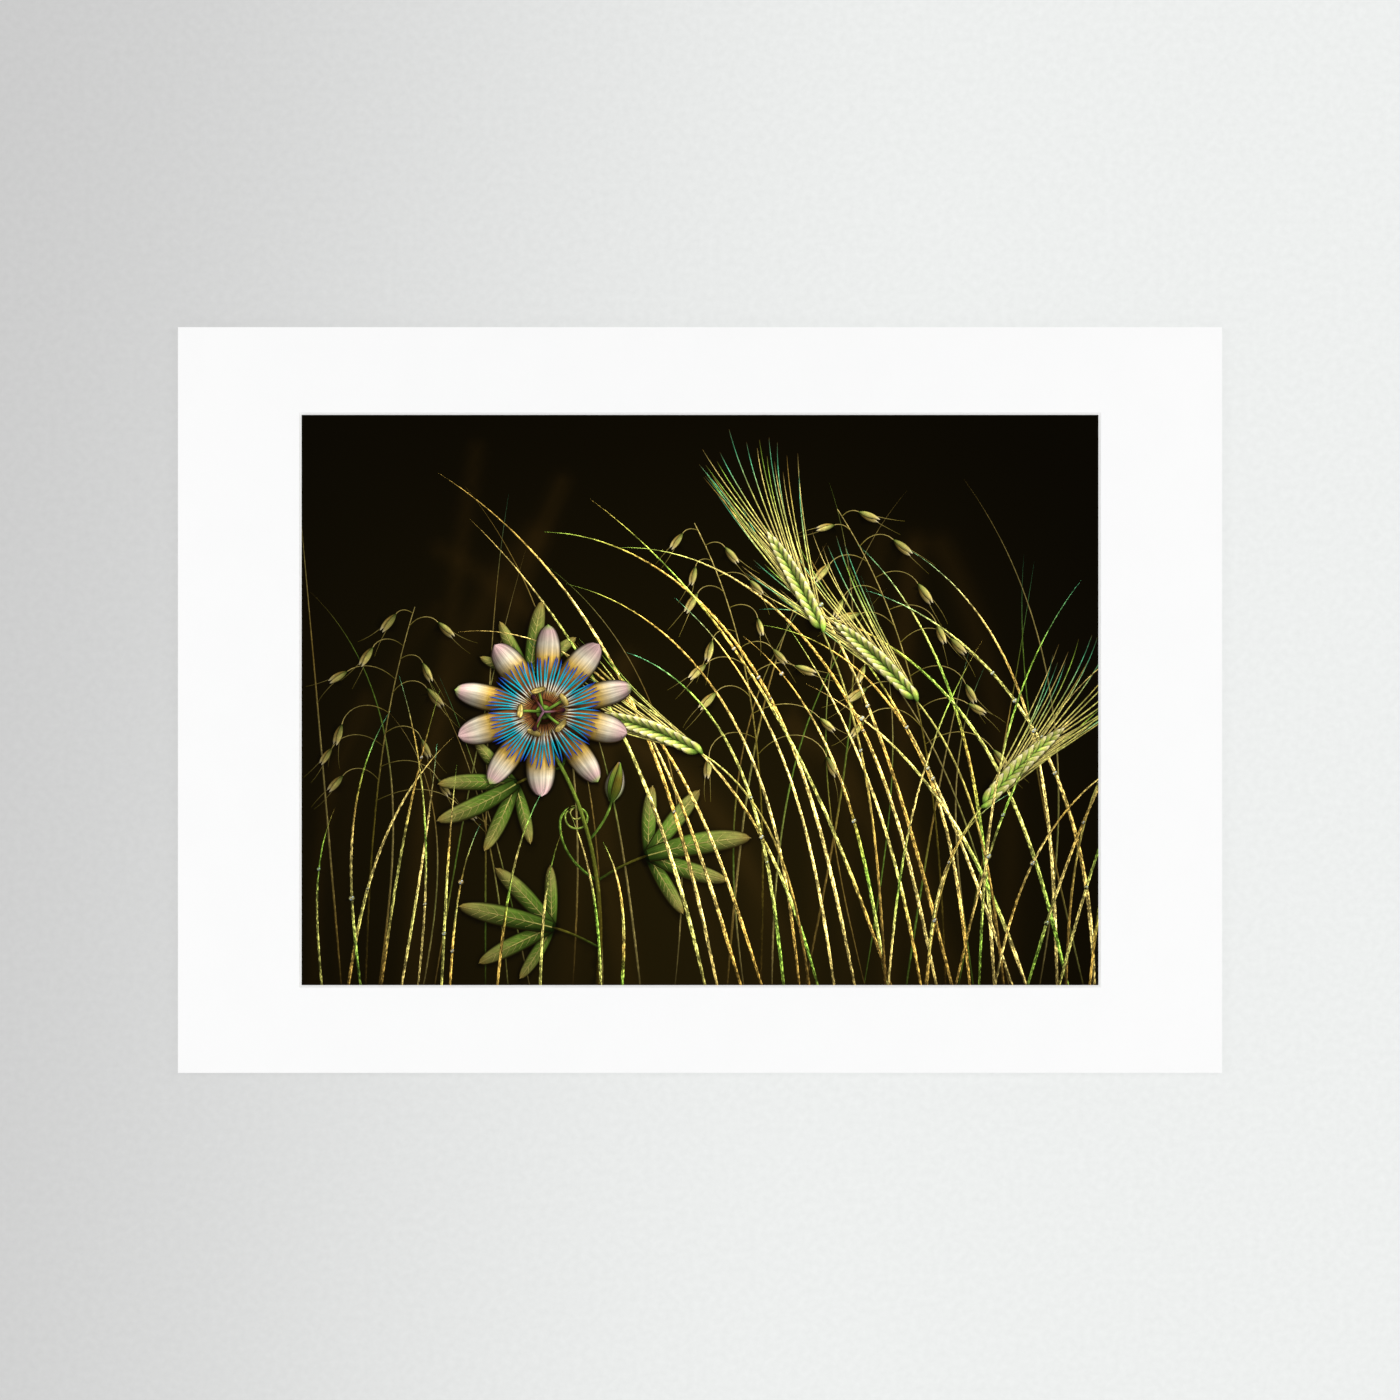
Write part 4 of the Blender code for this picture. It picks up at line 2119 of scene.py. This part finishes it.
@dataclass
class WindowMat:
    """Mat card with a bevelled window: facing paper, a bright core that the cut lays bare, and a back.

    Eased is how far the card's sharp edges are worn off.
    """

    node: str = "window_mat"
    facing: float = 0.00018
    eased: float = 0.00006
    window_half_width: float = 0.5345 / 2
    window_half_height: float = 0.3825 / 2
    finishes: tuple[Finish, ...] = (
        PaperFinish("card_face", (253, 253, 253), (249, 249, 249), roughness=0.9, specular=0.2),
        CutCoreFinish(),
        PaperFinish("card_back", (250, 249, 245), (238, 236, 229), roughness=0.85, specular=0.25),
    )

    def build(self) -> Object:
        """Builds the card.

        Returns:
            The piece.
        """
        low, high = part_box(self.node)
        thick = high.z - low.z
        outer = [
            (self.eased, low.z),
            (0.0, low.z + self.eased),
            (0.0, high.z - self.facing),
            (0.0, high.z - self.eased),
            (self.eased, high.z),
        ]
        window = [
            (thick + self.eased, high.z),
            (thick - self.eased, high.z - self.eased / 2),
            (thick - self.facing, high.z - self.facing),
            (0.0, low.z + self.eased / 3),
            (self.eased, low.z),
        ]
        rings = [ring_of(high.x - inset, high.y - inset, z) for inset, z in outer]
        rings += [
            ring_of(self.window_half_width + grown, self.window_half_height + grown, z)
            for grown, z in window
        ]
        edge = [Ply.BACK, Ply.CORE, Ply.FACE, Ply.FACE]
        front = [Ply.FACE]
        bevel = [Ply.FACE, Ply.FACE, Ply.CORE]
        back = [Ply.BACK, Ply.BACK]
        mesh = hoops("mat_card", rings, edge + front + bevel + back, closed=True)
        return dressed(mesh, self.finishes, self.node)


@dataclass
class PrintedSheet:
    """The sheet of art paper with the picture on its front.

    Its mesh has the picture's triangles first, and then the faces that close it: its four edges
    and its back. Its flat map gives the picture nearly all of its square, and the edges and the
    back a strip of their own at its foot.
    """

    picture: Picture
    node: str = "art_print"
    closing_faces: int = 5
    back_strip: float = 0.05
    strip_filled: float = 0.9
    ink: InkFinish = InkFinish()
    paper: PaperFinish = PaperFinish(
        "rag_paper",
        (249, 248, 243),
        (240, 238, 231),
        roughness=0.86,
        specular=0.25,
        tooth_pitch=0.0008,
    )

    def build(self) -> Object:
        """Builds the sheet.

        Returns:
            The piece.
        """
        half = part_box(self.node)[1]
        plane = self.picture.draw((half.x, half.y)).part()
        LOG.info("the picture has %d parts", len(plane.triangles))
        mesh = self.slab(plane)
        self.write_layers(mesh, plane)
        self.write_map(mesh)
        return dressed(mesh, (self.ink, self.paper), self.node)

    def slab(self, plane: Plane) -> Mesh:
        """Closes the picture's plane into a thin slab.

        Args:
            plane: The picture's plane.

        Returns:
            The mesh. Its slot 0 is for the ink, and its slot 1 for the bare paper.
        """
        low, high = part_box(self.node)
        count = len(plane.points)
        top = np.column_stack([plane.points, np.full(count, high.z)])
        base = np.array(ring_of(high.x, high.y, low.z))
        rim = [int(np.linalg.norm(plane.points - corner[:2], axis=1).argmin()) for corner in base]
        faces = [tuple(face) for face in plane.triangles.tolist()]
        for side in range(4):
            after = (side + 1) % 4
            faces.append((count + side, count + after, rim[after], rim[side]))
        faces.append((count + 3, count + 2, count + 1, count))
        mesh = bpy.data.meshes.new("picture_sheet")
        mesh.from_pydata(np.concatenate([top, base]).tolist(), [], faces)
        slots = plane.bare.astype(int).tolist() + [1] * self.closing_faces
        mesh.polygons.foreach_set("material_index", slots)
        mesh.update()
        return mesh

    def write_layers(self, mesh: Mesh, plane: Plane) -> None:
        """Writes what the ink's shader reads onto the corners of the picture's triangles.

        Args:
            mesh: The sheet's mesh.
            plane: The picture's plane.
        """
        layers = {layer: plane.values[..., columns] for layer, columns in COLUMNS.items()}
        ground = self.picture.ground.color(plane.points)[plane.triangles]
        layers[Layer.GROUND] = np.concatenate([ground, plane.shade[..., None]], axis=2)
        for layer, rows in layers.items():
            width = rows.shape[-1]
            kind, entry = ("FLOAT_COLOR", "color") if width == 4 else ("FLOAT_VECTOR", "vector")
            filled = np.zeros((len(mesh.loops), width), np.float32)
            filled[: rows.size // width] = rows.reshape(-1, width)
            mesh.attributes.new(layer.value, kind, "CORNER").data.foreach_set(entry, filled.ravel())

    def write_map(self, mesh: Mesh) -> None:
        """Writes a flat map that gives the picture nearly all of the image, and the rest the strip.

        Args:
            mesh: The sheet's mesh.
        """
        low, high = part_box(self.node)
        corners = np.zeros(len(mesh.loops), int)
        mesh.loops.foreach_get("vertex_index", corners)
        points = np.zeros(3 * len(mesh.vertices))
        mesh.vertices.foreach_get("co", points)
        places = points.reshape(-1, 3)[corners]
        across = (places[:, 0] - low.x) / (high.x - low.x)
        up = (places[:, 1] - low.y) / (high.y - low.y)
        pictured = np.arange(len(places)) < len(places) - 4 * self.closing_faces
        in_picture = self.back_strip + (1 - self.back_strip) * up
        up = np.where(pictured, in_picture, self.back_strip * self.strip_filled * up)
        layer = mesh.uv_layers.new(name="OFBake")
        layer.uv.foreach_set("vector", np.column_stack([across, up]).astype(np.float32).ravel())


@dataclass
class HiddenPaper:
    """The tabs and the tape, which keep their solids and get their finishes."""

    tabs: tuple[str, ...] = ("paper_tab_left", "paper_tab_right")
    strips: tuple[str, ...] = (
        "mount_tape_top", "mount_tape_bottom", "mount_tape_left", "mount_tape_right"
    )
    gummed: PaperFinish = PaperFinish(
        "gummed_paper", (240, 234, 214), (222, 213, 186), roughness=0.75, specular=0.3
    )
    tape: TapeFinish = TapeFinish()

    def dress(self) -> None:
        """Puts the finishes on."""
        for names, finish in ((self.tabs, self.gummed), (self.strips, self.tape)):
            material = finish.build()
            for name in names:
                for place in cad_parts[name].material_slots:
                    place.material = material


# ---------------- The studio ----------------

# Blender takes a lens and its sensor in millimetres.
MILLIMETRES = 1000


@dataclass(frozen=True)
class Lamp:
    """A square soft light that faces the middle of the print. Its power is in watts."""

    name: str
    place: Corner
    power: float
    size: float = 1.7

    def hang(self) -> None:
        """Hangs the light in its place."""
        lamp = bpy.data.lights.new(self.name, "AREA")
        lamp.size = self.size
        lamp.energy = self.power
        holder = bpy.data.objects.new(self.name, lamp)
        holder.location = self.place
        holder.rotation_euler = Vector(self.place).to_track_quat("Z", "Y").to_euler()
        bpy.context.scene.collection.objects.link(holder)


@dataclass
class Studio:
    """A pale floor, soft lights at both sides as on a copying stand, and a camera straight above.

    Far from the print the floor bends up into a low wall all round, so no horizon shows. Its
    middle is one flat face out to nearly the bend. The card is as wide in the frame as it is in
    the photo, which is given in pixels.
    """

    floor_radius: float = 4.0
    flat_share: float = 0.95
    floor_sides: int = 96
    bend_radius: float = 1.5
    bend_steps: int = 12
    wall_height: float = 2.2
    floor_finish: FloorFinish = FloorFinish()
    lamps: tuple[Lamp, ...] = (
        Lamp("key_light", (1.9, 0.5, 1.9), power=28.6),
        Lamp("fill_light", (-1.9, 0.5, 1.9), power=28.6),
        Lamp("low_light", (0.0, -2.1, 1.9), power=19.6),
    )
    sky: float = 0.312
    lens: float = 0.085
    sensor: float = 0.036
    photo_pixels: float = 1400.0
    card_pixels: float = 1044.2
    card_width: float = 0.700

    def build(self) -> None:
        """Sets up the floor, the lights, the sky and the camera."""
        self.lay_floor()
        for lamp in self.lamps:
            lamp.hang()
        self.fill_sky()
        self.set_camera()

    def floor_section(self) -> list[Pair]:
        """Works out the floor's section from near the bend to the top of the wall.

        Returns:
            Pairs of a radius and a height.
        """
        section = [(self.flat_share * self.floor_radius, 0.0)]
        for step in range(self.bend_steps + 1):
            bend = math.pi / 2 * step / self.bend_steps
            rise = self.bend_radius * (1.0 - math.cos(bend))
            section.append((self.floor_radius + self.bend_radius * math.sin(bend), rise))
        return section + [(self.floor_radius + self.bend_radius, self.wall_height)]

    def lay_floor(self) -> None:
        """Lays the floor that the print rests on."""
        section = self.floor_section()
        turns = [round_angle(side, self.floor_sides) for side in range(self.floor_sides)]
        points = [(radius * math.cos(t), radius * math.sin(t), z) for radius, z in section for t in turns]
        faces: list[tuple[int, ...]] = [tuple(range(self.floor_sides))]
        for row in range(len(section) - 1):
            low, high = row * self.floor_sides, (row + 1) * self.floor_sides
            for side in range(self.floor_sides):
                after = (side + 1) % self.floor_sides
                faces.append((low + side, high + side, high + after, low + after))
        mesh = bpy.data.meshes.new("floor")
        mesh.from_pydata(points, [], faces)
        mesh.shade_smooth()
        mesh.materials.append(self.floor_finish.build())
        floor = bpy.data.objects.new("floor", mesh)
        bpy.context.scene.collection.objects.link(floor)

    def fill_sky(self) -> None:
        """Fills the room with even pale light, and shows colours as they are."""
        world = bpy.data.worlds.new("studio")
        world.use_nodes = True
        backdrop = world.node_tree.nodes["Background"]
        backdrop.inputs["Color"].default_value = (1.0, 1.0, 1.0, 1.0)
        backdrop.inputs["Strength"].default_value = self.sky
        bpy.context.scene.world = world
        bpy.context.scene.view_settings.view_transform = "Standard"

    def set_camera(self) -> None:
        """Sets the camera so high that the card is as wide in the frame as it should be."""
        lens = bpy.data.cameras.new("camera")
        lens.lens = self.lens * MILLIMETRES
        lens.sensor_width = self.sensor * MILLIMETRES
        frame_width = self.card_width * self.photo_pixels / self.card_pixels
        camera = bpy.data.objects.new("camera", lens)
        camera.location = (0.0, 0.0, CAD_BOX[1].z + frame_width * self.lens / self.sensor)
        bpy.context.scene.collection.objects.link(camera)
        bpy.context.scene.camera = camera


def main() -> None:
    """Builds every piece in order."""
    logging.basicConfig(level=logging.INFO, format="%(name)s: %(message)s")
    Studio().build()
    LOG.info("set up the studio")
    for assembly in (BackingBoard(), PrintedSheet(Picture()), WindowMat()):
        piece = assembly.build()
        LOG.info("built %s, %d faces", piece.name, len(piece.data.polygons))
    HiddenPaper().dress()
    LOG.info("dressed the tabs and the tape")


if __name__ == "__main__":
    main()
